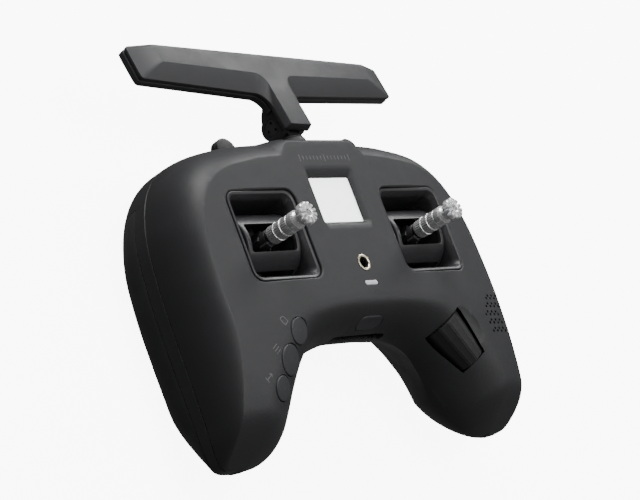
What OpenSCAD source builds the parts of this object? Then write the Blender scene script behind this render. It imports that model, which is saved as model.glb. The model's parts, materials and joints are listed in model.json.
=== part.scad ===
/* [Body] */
// Overall width across the grips
body_w = 169; // [163:1:173]
// Height of the control face above the rear cover
face_z = 48; // [47:0.5:50]
// Wall thickness of both shells
wall = 2.2; // [1.8:0.1:2.4]
// Height of the line where the front and rear shells meet
seam_z = 23; // [22.6:0.1:23.4]
/* [Gimbals] */
// Distance of each gimbal's centre from the middle
gimbal_x = 42.2; // [41.8:0.1:43]
// Side of the square gimbal opening
gimbal_open = 36; // [35.8:0.1:36.4]
// Depth of the stick pivots below the control face
pivot_depth = 15.4; // [15:0.1:16]
// Outer radius of the barrel yoke
yoke_r = 13.4; // [13:0.1:13.8]
// Length of the barrel yoke
yoke_len = 28; // [27:0.5:28.5]
/* [Screen and lights] */
// Width of the visible display
screen_w = 22.8; // [21:0.2:24]
// Height of the visible display
screen_h = 18.5; // [17:0.5:19.5]
// Bore radius of the threaded strap insert
strap_bore_r = 2; // [1.5:0.1:2.2]
/* [Antenna] */
// Full width of the T-shaped antenna
antenna_w = 151.4; // [140:0.2:156]
// Angle that the antenna leans back from straight up
antenna_fold = 10.3; // [0:0.1:20]
// Angle that the antenna is turned about its swivel
antenna_turn = 3.9; // [0:0.1:8]
/* [Hidden] */

black = [0.14, 0.14, 0.15];
dark = [0.08, 0.08, 0.09];
grey = [0.25, 0.25, 0.27];
silver = [0.8, 0.8, 0.82];
green = [0.1, 0.3, 0.16];

// ---- Body shape -------------------------------------------------------------------------------
// Cross-sections from the middle of the body to the tip of a grip. Each row holds the outer edge
// point x, y, the inner edge point x, y, and how far the rounding runs in from the outer front,
// inner front, inner rear and outer rear corners.
SECTIONS = [
    [0, 43, 0, -37, 5.5, 10, 13, 9],
    [18, 43, 7, -37, 5.5, 10, 13, 9],
    [23, 43.2, 9, -37, 8, 10, 13, 9],
    [28, 43.5, 11, -37, 11.5, 10, 13, 9],
    [44, 42.2, 18, -37.6, 12.5, 10.5, 14, 10],
    [61.6, 37.8, 26, -39.5, 12, 12, 17, 12],
    [73.6, 27.6, 33, -43, 11, 15, 20, 14],
    [81, 11.6, 37.5, -48, 11, 18, 20, 14],
    [83.8, -8, 41, -53.5, 11, 20.5, 19, 14],
    [84.5, -28, 44, -59, 10.5, 22, 18, 14],
    [84.4, -46, 47.5, -64.5, 7.4, 21, 16, 13],
    [84.1, -60, 52, -69.5, 5, 19, 14, 11],
    [83.1, -69.8, 57.5, -73.8, 3, 13, 11, 8],
    [80.4, -76.3, 63.5, -76.5, 2, 8, 6, 4],
    [72.5, -78.4, 70, -78.3, 0.8, 1, 1, 0.8]
];
LAST = len(SECTIONS) - 1;
width_k = body_w / 169;
rear_z = 0.5;
corner_steps = 5;
face_steps = 5;
// How square each rounded corner is: 1 is an ellipse, larger is nearer a straight chamfer
OUTER_FRONT = 1.5;
INNER_FRONT = 1.1;
function outer_rear(s) = 1.25 - 0.28 * max(0, min(1, (s - 6.5) / 2.5, 12.2 - s));

function station(i) = i < 0 ? [for (j = [0:7]) (j == 0 || j == 2 ? -1 : 1) * SECTIONS[-i][j]]
    : i > LAST ? 2 * SECTIONS[LAST] - SECTIONS[LAST - 1] : SECTIONS[i];
function section(s) = let (i = min(floor(s), LAST - 1), f = s - i,
    a = station(i - 1), b = station(i), c = station(i + 1), d = station(i + 2))
    0.5 * (2 * b + (c - a) * f + (2 * a - 5 * b + 4 * c - d) * f * f + (3 * b - a - 3 * c + d) * f * f * f);
// The face falls away towards the grip tips and is slightly domed across the width
function face_at(p) = face_z - 0.0043 * pow(max(0, -26 - p[1]), 2) - 0.05 * pow(max(0, -62 - p[1]), 2)
    - 3.2 * pow(abs(p[0]) / 75, 4);
function rear_at(p) = rear_z + 0.02 * pow(max(0, -50 - p[1]), 2);
function tip(s) = pow(max(0, (s - LAST + 5) / 5), 2);
function waist_z(s) = face_z - 20 - 8 * max(0, min(1, (s - 4) / 5)) - 3 * tip(s);
function inner_rear(s) = 1.7 - 0.45 * max(0, min(1, (s - 6.5) / 3));
function steps(n) = [for (k = [0:n]) 90 * k / n];

// One closed cross-section, shrunk inwards by w. It runs from the outer seam over the front,
// round the inner side and back along the rear.
function ring(s, w = 0) = let (v = section(s), width = norm([v[2] - v[0], v[3] - v[1]]),
    e = [v[2] - v[0], v[3] - v[1]] / width, p = [v[0], v[1]] + e * w, run = width - 2 * w,
    k = max(0.2, run / width), k3 = inner_rear(s), k4 = outer_rear(s), c1 = v[4] * k, c2 = v[5] * k, c3 = v[6] * k, c4 = v[7] * k,
    outer_z = seam_z - 5 * tip(s), pad_z = face_z - 31 - 1.5 * tip(s), mid_z = waist_z(s),
    z1 = face_at(p + e * c1) - w, z2 = face_at(p + e * (run - c2)) - w,
    z3 = rear_at(p + e * (run - c3)) + w, z4 = rear_at(p + e * c4) + w)
    [for (q = concat(
        [for (t = steps(corner_steps)) [c1 * (1 - pow(cos(t), OUTER_FRONT)),
            z1 - (z1 - outer_z) * (1 - pow(sin(t), OUTER_FRONT))]],
        [for (i = [1:face_steps - 1]) let (a = c1 + (run - c1 - c2) * i / face_steps) [a, face_at(p + e * a) - w]],
        [for (t = steps(corner_steps)) [run - c2 * (1 - pow(sin(t), INNER_FRONT)),
            z2 - (z2 - mid_z) * (1 - pow(cos(t), INNER_FRONT))]],
        [for (i = [1:corner_steps]) let (t = 90 * i / corner_steps)
            [run - c3 * (1 - pow(cos(t), k3)), mid_z - (mid_z - z3) * pow(sin(t), k3)]],
        [for (i = [1:3]) let (a = run - c3 + (c4 - run + c3) * i / 4) [a, rear_at(p + e * a) + w]],
        [for (t = steps(corner_steps)) [c4 * (1 - pow(sin(t), k4)),
            pad_z - (pad_z - z4) * pow(cos(t), k4)]]
    )) [(p[0] + e[0] * q[0]) * width_k, p[1] + e[1] * q[0], q[1]]];
function flip(points) = [for (p = points) [-p[0], p[1], p[2]]];

// Joins a list of rings with the same number of points into one solid
module loft(rings) {
    n = len(rings[0]);
    m = len(rings);
    polyhedron(points = [for (r = rings) for (p = r) p], faces = concat(
        [for (i = [0:m - 2]) for (j = [0:n - 1]) let (k = (j + 1) % n) [i * n + j, (i + 1) * n + k, i * n + k]],
        [for (i = [0:m - 2]) for (j = [0:n - 1]) let (k = (j + 1) % n) [i * n + j, (i + 1) * n + j, (i + 1) * n + k]],
        [[for (j = [0:n - 1]) j]], [[for (j = [n - 1:-1:0]) (m - 1) * n + j]]));
}
// The whole body, shrunk inwards by w and stopping short of the grip tips by the given share
module body_solid(w = 0, columns = 28, short = 0) {
    half = [for (i = [0:columns]) ring((LAST - short) * i / columns, w)];
    loft(concat([for (i = [columns:-1:1]) flip(half[i])], half));
}

// ---- General shapes ---------------------------------------------------------------------------
module mirror_pair() {
    children();
    mirror([1, 0, 0]) children();
}
module on_side(side) {
    if (side > 0) children();
    else mirror([1, 0, 0]) children();
}
module rounded_rect(w, h, r) {
    square([w - 2 * r, h], center = true);
    square([w, h - 2 * r], center = true);
    for (x = [-1, 1], y = [-1, 1]) translate([x * (w / 2 - r), y * (h / 2 - r)]) circle(r = r, $fn = 32);
}
module rounded_slab(w, h, t, r) linear_extrude(t) rounded_rect(w, h, r);
// Rounded slab made as a hull, used where it only cuts a shell
module slab_cut(w, h, t, r) hull() for (x = [-1, 1], y = [-1, 1])
    translate([x * (w / 2 - r), y * (h / 2 - r), 0]) cylinder(r = r, h = t, $fn = 32);
// Points +Z along a direction given by its plan angle and its tilt from vertical
module aimed(pos, plan, tilt) translate(pos) rotate([0, 0, plan]) rotate([0, tilt, 0]) children();

// ---- Shells -----------------------------------------------------------------------------------
SHELL_POSTS = [[50, 27.5], [68, -64], [21.5, 31]];
post_r = 3.3;
screw_r = 1.4;
shell_gap = 0.06;

screen_y = 13.7;
strap_y = -13.2;
light_y = -21.4;
// Menu buttons on the left grip: position, radius, plan angle and tilt of the surface
BUTTONS = [[[-46.6, -37.6, face_z - 1.9], 5, -67, 21], [[-53.6, -47.3, face_z - 4.4], 5.8, -61, 25],
    [[-60, -56.8, face_z - 6.7], 4.7, -61, 26]];
button_gap = 0.2;
power_pos = [0, -34.6, face_z - 8.1];
power_tilt = 69;
port_z = face_z - 17.4;
usb_x = -4;
jack_x = 9.5;
// Scroll wheel on the right grip
wheel_pos = [49, -43.7, face_z - 11.4];
wheel_turn = -53.8;
wheel_dip = 3.6;
wheel_len = 20.4;
wheel_r1 = 9;
wheel_r2 = 6.6;
wheel_facets = 12;
toggle_x = 35;
toggle_z = face_z - 16;
toggle_pivot_y = 33.5;
shoulder_pos = [50.9, 41, 17.4];
shoulder_turn = 79;
antenna_z = face_z - 14.2;
hinge_y = 50;

module wheel_frame() translate(wheel_pos) rotate([0, 0, wheel_turn]) rotate([0, 90 + wheel_dip, 0]) children();
module shell_posts(r, z0, z1) for (p = SHELL_POSTS) mirror_pair()
    translate([p[0] * width_k, p[1], z0]) cylinder(r = r, h = z1 - z0, $fn = 24);
module speaker_grille(r, h) for (row = [0:4], i = [0:6])
    let (x = 63.4 + 1.9 * max(0, 2 - row) + 1.1 * max(0, row - 2) + 1.5 * i)
        if (x < 76) translate([x, -30.4 - 3.35 * row + 1.1 * (i % 2), face_z - 12]) cylinder(r = r, h = h, $fn = 12);
module front_openings() {
    for (x = [-1, 1]) translate([x * gimbal_x, 0, face_z - 9]) slab_cut(gimbal_open, gimbal_open, 12, 4.5);
    translate([0, screen_y, face_z - 6]) slab_cut(screen_w, screen_h, 9, 0.8);
    translate([0, screen_y + 0.6, 0]) hull() {
        translate([0, 0, face_z - 1.6]) rounded_slab(screen_w + 0.4, screen_h + 0.4, 0.1, 0.8);
        translate([0, 0, face_z + 0.4]) rounded_slab(screen_w + 4.4, screen_h + 5.2, 0.1, 1.6);
    }
    translate([0, strap_y, face_z - 9]) cylinder(r = 3.4, h = 12, $fn = 48);
    translate([0, light_y, face_z - 6]) slab_cut(7.2, 2.1, 9, 0.8);
    for (b = BUTTONS) aimed(b[0], b[2], b[3]) translate([0, 0, -5]) cylinder(r = b[1] + button_gap, h = 9, $fn = 40);
    translate(power_pos) rotate([power_tilt, 0, 0]) translate([0, 0, -5]) slab_cut(14.4, 8, 9, 3.9);
    translate([0, -37.6, port_z]) rotate([90, 0, 0]) translate([0, 0, -2.6]) slab_cut(31, 5.4, 6, 2.2);
    translate([usb_x, -32, port_z]) rotate([90, 0, 0]) slab_cut(9.6, 3.8, 9, 1.8);
    translate([jack_x, -32, port_z]) rotate([90, 0, 0]) cylinder(r = 2.9, h = 9, $fn = 36);
    wheel_frame() hull() for (z = [-1, 1]) translate([0, 0, z * (wheel_len / 2 + 0.5)])
        cylinder(r = z < 0 ? wheel_r1 + 1.2 : wheel_r2 + 1.2, h = 0.1, center = true, $fn = 32);
    speaker_grille(0.5, 20);
    for (x = [-1, 1]) translate([x * toggle_x, 43, toggle_z]) rotate([90, 0, 0]) slab_cut(12.8, 11, 12, 1.2);
    translate([0, 50, antenna_z]) rotate([90, 0, 0]) cylinder(r = 7.1, h = 14, $fn = 48);
}
module front_shell() color(black) union() {
    difference() {
        body_solid(columns = 28);
        body_solid(w = wall, columns = 20, short = 1.2);
        translate([-100, -100, -10]) cube([200, 200, seam_z + 10]);
        front_openings();
    }
    difference() {
        intersection() {
            shell_posts(post_r, seam_z - 1.4, face_z);
            body_solid(w = 0.8, columns = 20, short = 0.8);
        }
        shell_posts(screw_r, 0, seam_z + 9);
    }
}
// The strip of the grip that the rubber pad covers, as a closed section between two depths
PAD_FROM = 6.2;
PAD_TO = 12.7;
pad_t = 1.2;
function pad_strip(s, w) = let (r = ring(s, w), n = len(r)) [for (i = [n - corner_steps - 1:n - 1]) r[i]];
// Moves the two ends of a strip outwards along it, so that a recess clears what sits in it
function widened(r, k) = let (n = len(r) - 1)
    [for (i = [0:n]) i == 0 ? r[0] + (r[0] - r[1]) * k : i == n ? r[n] + (r[n] - r[n - 1]) * k : r[i]];
function pad_ring(s, w0, w1, k) = let (a = widened(pad_strip(s, w0), k), b = widened(pad_strip(s, w1), k))
    concat(a, [for (i = [len(b) - 1:-1:0]) b[i]]);
module pad_solid(w0, w1, k = 0) loft([for (i = [0:20])
    pad_ring(PAD_FROM + (PAD_TO - PAD_FROM) * i / 20, w0, w1, k)]);
module grip_pad() color(dark) pad_solid(0, pad_t);

cover_w = 78;
cover_h = 46;
module rear_shell() color(black) union() {
    difference() {
        body_solid(columns = 28);
        body_solid(w = wall, columns = 20, short = 1.2);
        translate([-100, -100, seam_z - shell_gap]) cube([200, 200, 40]);
        mirror_pair() pad_solid(-0.6, pad_t + 0.15, 0.08);
        translate([0, 0, -1]) slab_cut(cover_w + 0.4, cover_h + 0.4, 2.5, 4);
        translate([0, 0, -1]) slab_cut(cover_w - 8, cover_h - 6, 6, 3);
        shell_posts(1.7, -1, seam_z + 1);
        for (p = SHELL_POSTS) mirror_pair() translate([p[0] * width_k, p[1], rear_at(p) - 3]) hull() {
            cylinder(r = 3, h = 4.8, $fn = 24);
            cylinder(r = 1.7, h = 5.6, $fn = 24);
        }
        for (x = [-1, 1]) translate([x * (cover_w / 2 - 2.6), 0, -1]) cylinder(r = 0.9, h = 8, $fn = 24);
        mirror_pair() shoulder_frame() translate([0, 0, -8]) cylinder(r = 4.5, h = 16, $fn = 36);
    }
    difference() {
        intersection() {
            shell_posts(post_r, 0, seam_z - 1.5);
            body_solid(w = 1, columns = 20, short = 0.8);
        }
        shell_posts(1.7, -1, 40);
        for (p = SHELL_POSTS) mirror_pair() translate([p[0] * width_k, p[1], rear_at(p) - 3])
            cylinder(r = 3, h = 4.8, $fn = 24);
    }
}
module rear_cover() color(dark) difference() {
    union() {
        rounded_slab(cover_w, cover_h, 1.4, 4);
        translate([0, 0, 1.4]) rounded_slab(cover_w - 8.6, cover_h - 6.6, 1.2, 3);
    }
    for (x = [-1, 1]) translate([x * (cover_w / 2 - 2.6), 0, -1]) {
        cylinder(r = 1.1, h = 4, $fn = 32);
        cylinder(r = 2.1, h = 1.7, $fn = 32);
    }
}
module cover_screws() color(grey) for (x = [-1, 1]) translate([x * (cover_w / 2 - 2.6), 0, 0]) {
    translate([0, 0, 0.1]) cylinder(r = 1.9, h = 0.6, $fn = 32);
    cylinder(r = 0.85, h = 5, $fn = 32);
}
module shell_screws() color(grey) for (p = SHELL_POSTS, side = [-1, 1]) translate([side * p[0] * width_k, p[1], 0]) {
    translate([0, 0, rear_at(p) + 1.1]) cylinder(r = 1.35, h = seam_z + 8 - rear_at(p) - 1.1, $fn = 32);
    translate([0, 0, rear_at(p) + 0.1]) cylinder(r = 2.6, h = 1.6, $fn = 32);
}

// ---- Screen, insert and light -----------------------------------------------------------------
module screen_window() color([0.85, 0.87, 0.86]) translate([0, screen_y, face_z - wall - 1])
    rounded_slab(screen_w + 3, screen_h + 3, 0.9, 1);
module display_module() color(grey) translate([0, screen_y, face_z - wall - 4.3])
    rounded_slab(screen_w + 4, screen_h + 6, 3.2, 1);
module strap_insert() color([0.72, 0.6, 0.35]) translate([0, strap_y, face_z - 7]) difference() {
    union() {
        cylinder(r = 3.3, h = 7.3, $fn = 64);
        cylinder(r = 4.4, h = 1.6, $fn = 64);
    }
    translate([0, 0, -1]) cylinder(r = strap_bore_r, h = 10, $fn = 64);
}
module status_light() color([0.7, 0.72, 0.75]) translate([0, light_y, face_z - 4]) rounded_slab(7, 1.9, 4.1, 0.8);

// ---- Gimbals ----------------------------------------------------------------------------------
pivot_z = face_z - pivot_depth;
frame_out = 34.6;
frame_in = 30.4;
stub_r = 2;
cross_r = 1.5;
run_gap = 0.05;
module at_pivot() translate([gimbal_x, 0, pivot_z]) children();
module gimbal_frame() color(black) at_pivot() difference() {
    union() {
        translate([0, 0, -8.6]) rounded_slab(frame_out, frame_out, pivot_depth + 4.9, 4);
        translate([0, 0, pivot_depth - 5.9]) rounded_slab(39.5, 39.5, 1.6, 5);
        translate([0, 0, pivot_depth - 4.3]) rounded_slab(gimbal_open - 0.6, gimbal_open - 0.6, 3.2, 4.3);
    }
    translate([0, 0, -10]) rounded_slab(frame_in, frame_in, 40, 3.2);
    rotate([0, 90, 0]) cylinder(r = stub_r + run_gap, h = 50, center = true, $fn = 48);
}
module barrel(r, len) rotate([0, 90, 0]) cylinder(r = r, h = len, center = true, $fn = 72);
module yoke() color(dark) at_pivot() difference() {
    union() {
        barrel(yoke_r, yoke_len);
        barrel(stub_r, frame_out - 0.4);
    }
    barrel(yoke_r - 1.7, yoke_len - 3.2);
    translate([-12, -5.6, 2]) cube([24, 11.2, 20]);
    translate([-30, -20, -27.4]) cube([60, 40, 20]);
    rotate([90, 0, 0]) cylinder(r = cross_r + run_gap, h = 40, center = true, $fn = 40);
}
module stick_carrier() color(black) at_pivot() {
    rotate([90, 0, 0]) cylinder(r = 4.2, h = 19, center = true, $fn = 48);
    rotate([90, 0, 0]) cylinder(r = cross_r, h = 26, center = true, $fn = 40);
    cylinder(r = 3.3, h = 13.2, $fn = 48);
    translate([0, 0, 13.2]) cylinder(r = 1.7, h = 2, $fn = 32);
    for (a = [45, 225]) rotate([0, 0, a]) translate([2.4, -1, 9.4]) cube([1.7, 2, 3.4]);
}
stick_base = 13.3;
module stick_grip() color(silver) at_pivot() rotate_extrude($fn = 64)
    polygon([[1.8, stick_base], [3.4, stick_base], [3.6, stick_base + 0.3], [3.6, stick_base + 3.6],
        [3.35, stick_base + 3.9], [3.35, stick_base + 4.3], [3.6, stick_base + 4.6], [3.6, stick_base + 7.2],
        [3.35, stick_base + 7.5], [3.35, stick_base + 7.9], [3.6, stick_base + 8.2], [3.6, stick_base + 10.6],
        [3.3, stick_base + 11], [3.7, stick_base + 11.5], [3.7, stick_base + 14], [2.9, stick_base + 15],
        [1.25, stick_base + 15], [1.25, stick_base + 3], [1.8, stick_base + 3]]);
module stick_cap() color(silver) at_pivot() translate([0, 0, stick_base + 15.1]) difference() {
    union() {
        translate([0, 0, -6]) cylinder(r = 1.2, h = 7, $fn = 32);
        rotate_extrude($fn = 64) polygon([[0, 0], [2.4, 0], [2.4, 0.9], [3.6, 1.5], [4.4, 2.4], [4.4, 4.2],
            [4, 5], [1.6, 5], [1, 4], [0, 4]]);
    }
    for (i = [0:11]) rotate([0, 0, 30 * i]) translate([4.1, -0.4, 2.9]) cube([2, 0.8, 4]);
}
module gimbal_sensor() color(green) at_pivot() {
    translate([frame_out / 2 + 0.2, -6, -6]) cube([1.4, 12, 12]);
    translate([frame_out / 2 + 1.6, -2.5, -2.5]) cube([1.2, 5, 5]);
}
// Two return springs hang beside each gimbal frame
module gimbal_springs() color(silver) for (x = [-1, 1], y = [-1, 1])
    translate([x * gimbal_x, y * (frame_out / 2 + 2.4), pivot_z - 6]) difference() {
        cylinder(r = 1.9, h = 13, $fn = 32);
        translate([0, 0, -1]) cylinder(r = 1.3, h = 15, $fn = 32);
    }

// ---- Buttons ----------------------------------------------------------------------------------
module menu_key(b) color(black) aimed(b[0], b[2], b[3]) {
    translate([0, 0, -4.4]) cylinder(r = b[1], h = 4.8, $fn = 48);
    translate([0, 0, -5.2]) cylinder(r = b[1] + 0.4, h = 0.8, $fn = 48);
    translate([0, 0, -6]) cylinder(r = 1.4, h = 0.8, $fn = 32);
}
module button_board() color(green) aimed(BUTTONS[1][0], BUTTONS[1][2], BUTTONS[1][3]) {
    translate([0, 0, -11.4]) cylinder(r = 9, h = 1.4, $fn = 48);
    translate([0, 0, -10]) cylinder(r = 2.2, h = 2.4, $fn = 32);
}
module power_button() color(dark) translate(power_pos) rotate([power_tilt, 0, 0]) {
    translate([0, 0, -4.4]) rounded_slab(13.8, 7.4, 4.5, 3.65);
    translate([0, 0, -5.2]) rounded_slab(15, 8.6, 0.8, 4.2);
}
module power_switch() color(green) translate(power_pos) rotate([power_tilt, 0, 0]) {
    translate([0, 0, -9.4]) rounded_slab(10, 7, 1.2, 2);
    translate([0, 0, -8.2]) cylinder(r = 1.8, h = 2, $fn = 32);
}

// ---- Scroll wheel -----------------------------------------------------------------------------
axle_r = 1.5;
module scroll_wheel() color(dark) wheel_frame() difference() {
    cylinder(r1 = wheel_r1, r2 = wheel_r2, h = wheel_len, center = true, $fn = wheel_facets);
    cylinder(r = axle_r + run_gap, h = 40, center = true, $fn = 40);
}
module scroll_wheel_axle() color(silver) wheel_frame() cylinder(r = axle_r, h = wheel_len + 3.4, center = true, $fn = 40);
module wheel_cradle() color(grey) wheel_frame() for (z = [-1, 1]) translate([0, 0, z * (wheel_len / 2 + 1.1)])
    difference() {
        cylinder(r = 2.5, h = 1.4, center = true, $fn = 40);
        cylinder(r = axle_r, h = 9, center = true, $fn = 40);
    }

// ---- Inside -----------------------------------------------------------------------------------
module speaker() color(dark) translate([67.6, -37.6, face_z - 12]) {
    cylinder(r = 7.4, h = 4, $fn = 48);
    translate([0, 0, -1.6]) cylinder(r = 4.5, h = 1.6, $fn = 48);
}
module vibration_motor() color(silver) translate([-66, -38, seam_z + 4]) cylinder(r = 5, h = 3.2, $fn = 48);
board_z = seam_z - 1;
board_w = 52;
board_h = 45;
module main_board() color(green) translate([0, 0.5, board_z]) difference() {
    rounded_slab(board_w, board_h, 1.4, 2);
    for (x = [-1, 1], y = [-1, 1]) translate([x * (board_w / 2 - 3), y * (board_h / 2 - 3), -1])
        cylinder(r = 1.1, h = 4, $fn = 32);
}
module processor() color(dark) translate([-7, -7, board_z + 1.4]) cube([14, 14, 1.6]);
module radio_module() color(silver) translate([-12, 11, board_z + 1.4]) cube([24, 12, 3]);
cell_r = 9;
module battery_cells() color([0.2, 0.35, 0.6]) for (y = [-1, 1]) translate([0, y * 9.3, 3 + cell_r])
    rotate([0, 90, 0]) cylinder(r = cell_r, h = 65, center = true, $fn = 64);
module battery_frame() color(dark) translate([0, 0, 3]) difference() {
    rounded_slab(68, 39.4, 9, 1);
    translate([0, 0, -1]) rounded_slab(65.6, 37.2, 20, 0.5);
}
module usb_socket() color(silver) translate([usb_x, -34.6, port_z]) rotate([-90, 0, 0]) difference() {
    rounded_slab(8.9, 3.1, 7.2, 1.5);
    translate([0, 0, -1]) rounded_slab(8.3, 2.5, 6.5, 1.2);
}
jack_bore_r = 1.8;
module jack_socket() color(dark) translate([jack_x, -34.6, port_z]) rotate([-90, 0, 0]) difference() {
    union() {
        cylinder(r = 2.6, h = 3, $fn = 48);
        translate([-3.4, -3, 2.8]) cube([6.8, 6, 9]);
    }
    translate([0, 0, -1]) cylinder(r = jack_bore_r, h = 11, $fn = 48);
}

// ---- Antenna ----------------------------------------------------------------------------------
bushing_top = 43.6;
lobe_r = 5.1;
pin_r = 1.3;
lobe_in = 3.1;
lobe_out = 6.3;
// Antenna frame: the origin is on the fold axis, +Y runs up the stem and +Z faces forward
module swivel_pose() translate([0, hinge_y, antenna_z]) rotate([0, antenna_turn, 0]) children();
module antenna_pose() swivel_pose() rotate([-antenna_fold, 0, 0]) children();
module x_disc(r, x0, x1) translate([x0, 0, 0]) rotate([0, 90, 0]) cylinder(r = r, h = x1 - x0, $fn = 48);
module antenna_bushing() color(dark) translate([0, bushing_top, antenna_z]) rotate([90, 0, 0]) difference() {
    cylinder(r = 7, h = 6, $fn = 64);
    translate([0, 0, -1]) cylinder(r = 3.05, h = 20, $fn = 48);
}
module antenna_swivel() color(dark) swivel_pose() {
    translate([0, bushing_top + 0.1 - hinge_y, 0]) rotate([-90, 0, 0]) cylinder(r = 6.4, h = 0.9, $fn = 64);
    translate([0, bushing_top - 6.6 - hinge_y, 0]) rotate([-90, 0, 0]) cylinder(r = 3, h = 6.8, $fn = 48);
    difference() {
        union() {
            x_disc(4.3, -2.9, 2.9);
            translate([-2.9, bushing_top + 0.8 - hinge_y, -4.2]) cube([5.8, 5.6, 8.4]);
        }
        x_disc(pin_r + run_gap, -8, 8);
    }
}
module antenna_hinge_pin() color(silver) antenna_pose() x_disc(pin_r, -5.6, 5.6);
rim_z = 6.25;
plateau_z = 8.85;
back_z = 0.9;
split_z = 4.4;
tip_x = antenna_w / 2;
// Outline of the T: the arms taper a little towards the tips and curve into the stem
module t_outline(inset = 0, low = 0) polygon(concat(
    [[tip_x - inset, 29.4], [tip_x - inset * 1.1, 15 + low], [13 - inset * 0.2, 11.9 + low]],
    [for (t = [0:15:90]) [6.3 + 6.7 * (1 - sin(t)), 5.2 + low + 6.7 * (1 - (1 - cos(t)))]],
    [[6.3, -4.4], [-6.3, -4.4]],
    [for (t = [90:-15:0]) [-6.3 - 6.7 * (1 - sin(t)), 5.2 + low + 6.7 * (1 - (1 - cos(t)))]],
    [[-13 + inset * 0.2, 11.9 + low], [-tip_x + inset * 1.1, 15 + low], [-tip_x + inset, 29.4]]));
module antenna_front() color(black) antenna_pose() {
    translate([0, 0, split_z + 0.1]) linear_extrude(rim_z - split_z - 0.1) t_outline();
    translate([0, 0, rim_z]) {
        hull() for (z = [0, 1]) translate([0, 0, z * (plateau_z - rim_z - 0.1)]) linear_extrude(0.1)
            polygon([[tip_x - z * 9, 29.4], [tip_x - z * 10.4, 15 + z * 7.1], [6.3, 11.7 + z * 9.5], [6.3, 29.4]]);
        hull() for (z = [0, 1]) translate([0, 0, z * (plateau_z - rim_z - 0.1)]) linear_extrude(0.1)
            polygon([[-tip_x + z * 9, 29.4], [-tip_x + z * 10.4, 15 + z * 7.1], [-6.3, 11.7 + z * 9.5], [-6.3, 29.4]]);
        linear_extrude(plateau_z - rim_z) polygon([[-6.3, -4.4], [6.3, -4.4], [6.3, 29.4], [-6.3, 29.4]]);
    }
}
module antenna_rear() color(black) antenna_pose() difference() {
    union() {
        translate([0, 0, back_z]) linear_extrude(split_z - back_z) difference() {
            t_outline();
            translate([-10, -8]) square([20, 13.4]);
        }
        for (side = [-1, 1]) hull() {
            x_disc(lobe_r, side > 0 ? lobe_in : -lobe_out, side > 0 ? lobe_out : -lobe_in);
            translate([side > 0 ? lobe_in : -lobe_out, -4.2, back_z]) cube([lobe_out - lobe_in, 12, split_z - back_z]);
        }
    }
    translate([-20, -20, split_z]) cube([40, 40, 20]);
    x_disc(pin_r, -5.7, 5.7);
    for (side = [-1, 1]) x_disc(3.5, side > 0 ? lobe_out - 0.6 : -lobe_out - 1, side > 0 ? lobe_out + 1 : -lobe_out + 0.6);
    translate([-tip_x + 6, 24, split_z - 0.8]) cube([antenna_w - 12, 3, 2]);
}
module antenna_element() color([0.72, 0.45, 0.2]) antenna_pose()
    translate([-tip_x + 6.3, 24.3, split_z - 0.7]) cube([antenna_w - 12.6, 2.4, 0.6]);
module antenna_hinge_caps() color(dark) antenna_pose() for (side = [-1, 1]) difference() {
    x_disc(3.4, side > 0 ? 5.75 : -6.25, side > 0 ? 6.25 : -5.75);
    for (a = [20, 140, 260]) rotate([a, 0, 0]) translate([0, 2, 0]) x_disc(0.5, -9, 9);
}

// ---- Shoulder controls ------------------------------------------------------------------------
module toggle() color(dark) translate([toggle_x, toggle_pivot_y, toggle_z]) difference() {
    union() {
        translate([0, 7.4, 0]) cylinder(r = 5.2, h = 4.4, center = true, $fn = 64);
        translate([-5.2, 0, -2.2]) cube([10.4, 7.4, 4.4]);
        x_disc(3, -6.3, 6.3);
    }
    x_disc(1.5 + run_gap, -10, 10);
}
module toggle_switch() color(grey) translate([toggle_x, toggle_pivot_y, toggle_z]) {
    x_disc(1.5, -7.2, 7.2);
    for (x = [-1, 1]) translate([x > 0 ? 6.8 : -8.2, -7, -4]) cube([1.4, 8.8, 8]);
    translate([-8.2, -7, -4]) cube([16.4, 2.4, 8]);
}
module shoulder_frame() translate([shoulder_pos[0] * width_k, shoulder_pos[1], shoulder_pos[2]])
    rotate([0, 0, shoulder_turn]) rotate([0, 90, 0]) children();
module shoulder_button() color(dark) shoulder_frame() {
    translate([0, 0, -5.6]) cylinder(r = 4.2, h = 5.9, $fn = 48);
    translate([0, 0, -6.4]) cylinder(r = 4.9, h = 0.8, $fn = 48);
}

front_shell();
rear_shell();
on_side(-1) grip_pad();  // left_grip_pad
on_side(1) grip_pad();  // right_grip_pad
rear_cover();
cover_screws();
shell_screws();
screen_window();
display_module();
strap_insert();
status_light();
on_side(-1) gimbal_frame();  // left_gimbal_frame
on_side(1) gimbal_frame();  // right_gimbal_frame
on_side(-1) yoke();  // left_yoke
on_side(1) yoke();  // right_yoke
on_side(-1) stick_carrier();  // left_stick_carrier
on_side(1) stick_carrier();  // right_stick_carrier
on_side(-1) stick_grip();  // left_stick_grip
on_side(1) stick_grip();  // right_stick_grip
on_side(-1) stick_cap();  // left_stick_cap
on_side(1) stick_cap();  // right_stick_cap
on_side(-1) gimbal_sensor();  // left_gimbal_sensor
on_side(1) gimbal_sensor();  // right_gimbal_sensor
gimbal_springs();
menu_key(BUTTONS[0]);  // page_button
menu_key(BUTTONS[1]);  // menu_button
menu_key(BUTTONS[2]);  // exit_button
button_board();
power_button();
power_switch();
scroll_wheel();
scroll_wheel_axle();
wheel_cradle();
speaker();
vibration_motor();
main_board();
processor();
radio_module();
battery_cells();
battery_frame();
usb_socket();
jack_socket();
antenna_bushing();
antenna_swivel();
antenna_hinge_pin();
antenna_rear();
antenna_front();
antenna_element();
antenna_hinge_caps();
on_side(-1) toggle();  // left_toggle
on_side(1) toggle();  // right_toggle
on_side(-1) toggle_switch();  // left_toggle_switch
on_side(1) toggle_switch();  // right_toggle_switch
on_side(-1) shoulder_button();  // left_shoulder_button
on_side(1) shoulder_button();  // right_shoulder_button
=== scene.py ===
import bpy
import json
import math
import numpy as np
from mathutils import Matrix, Vector


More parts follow.
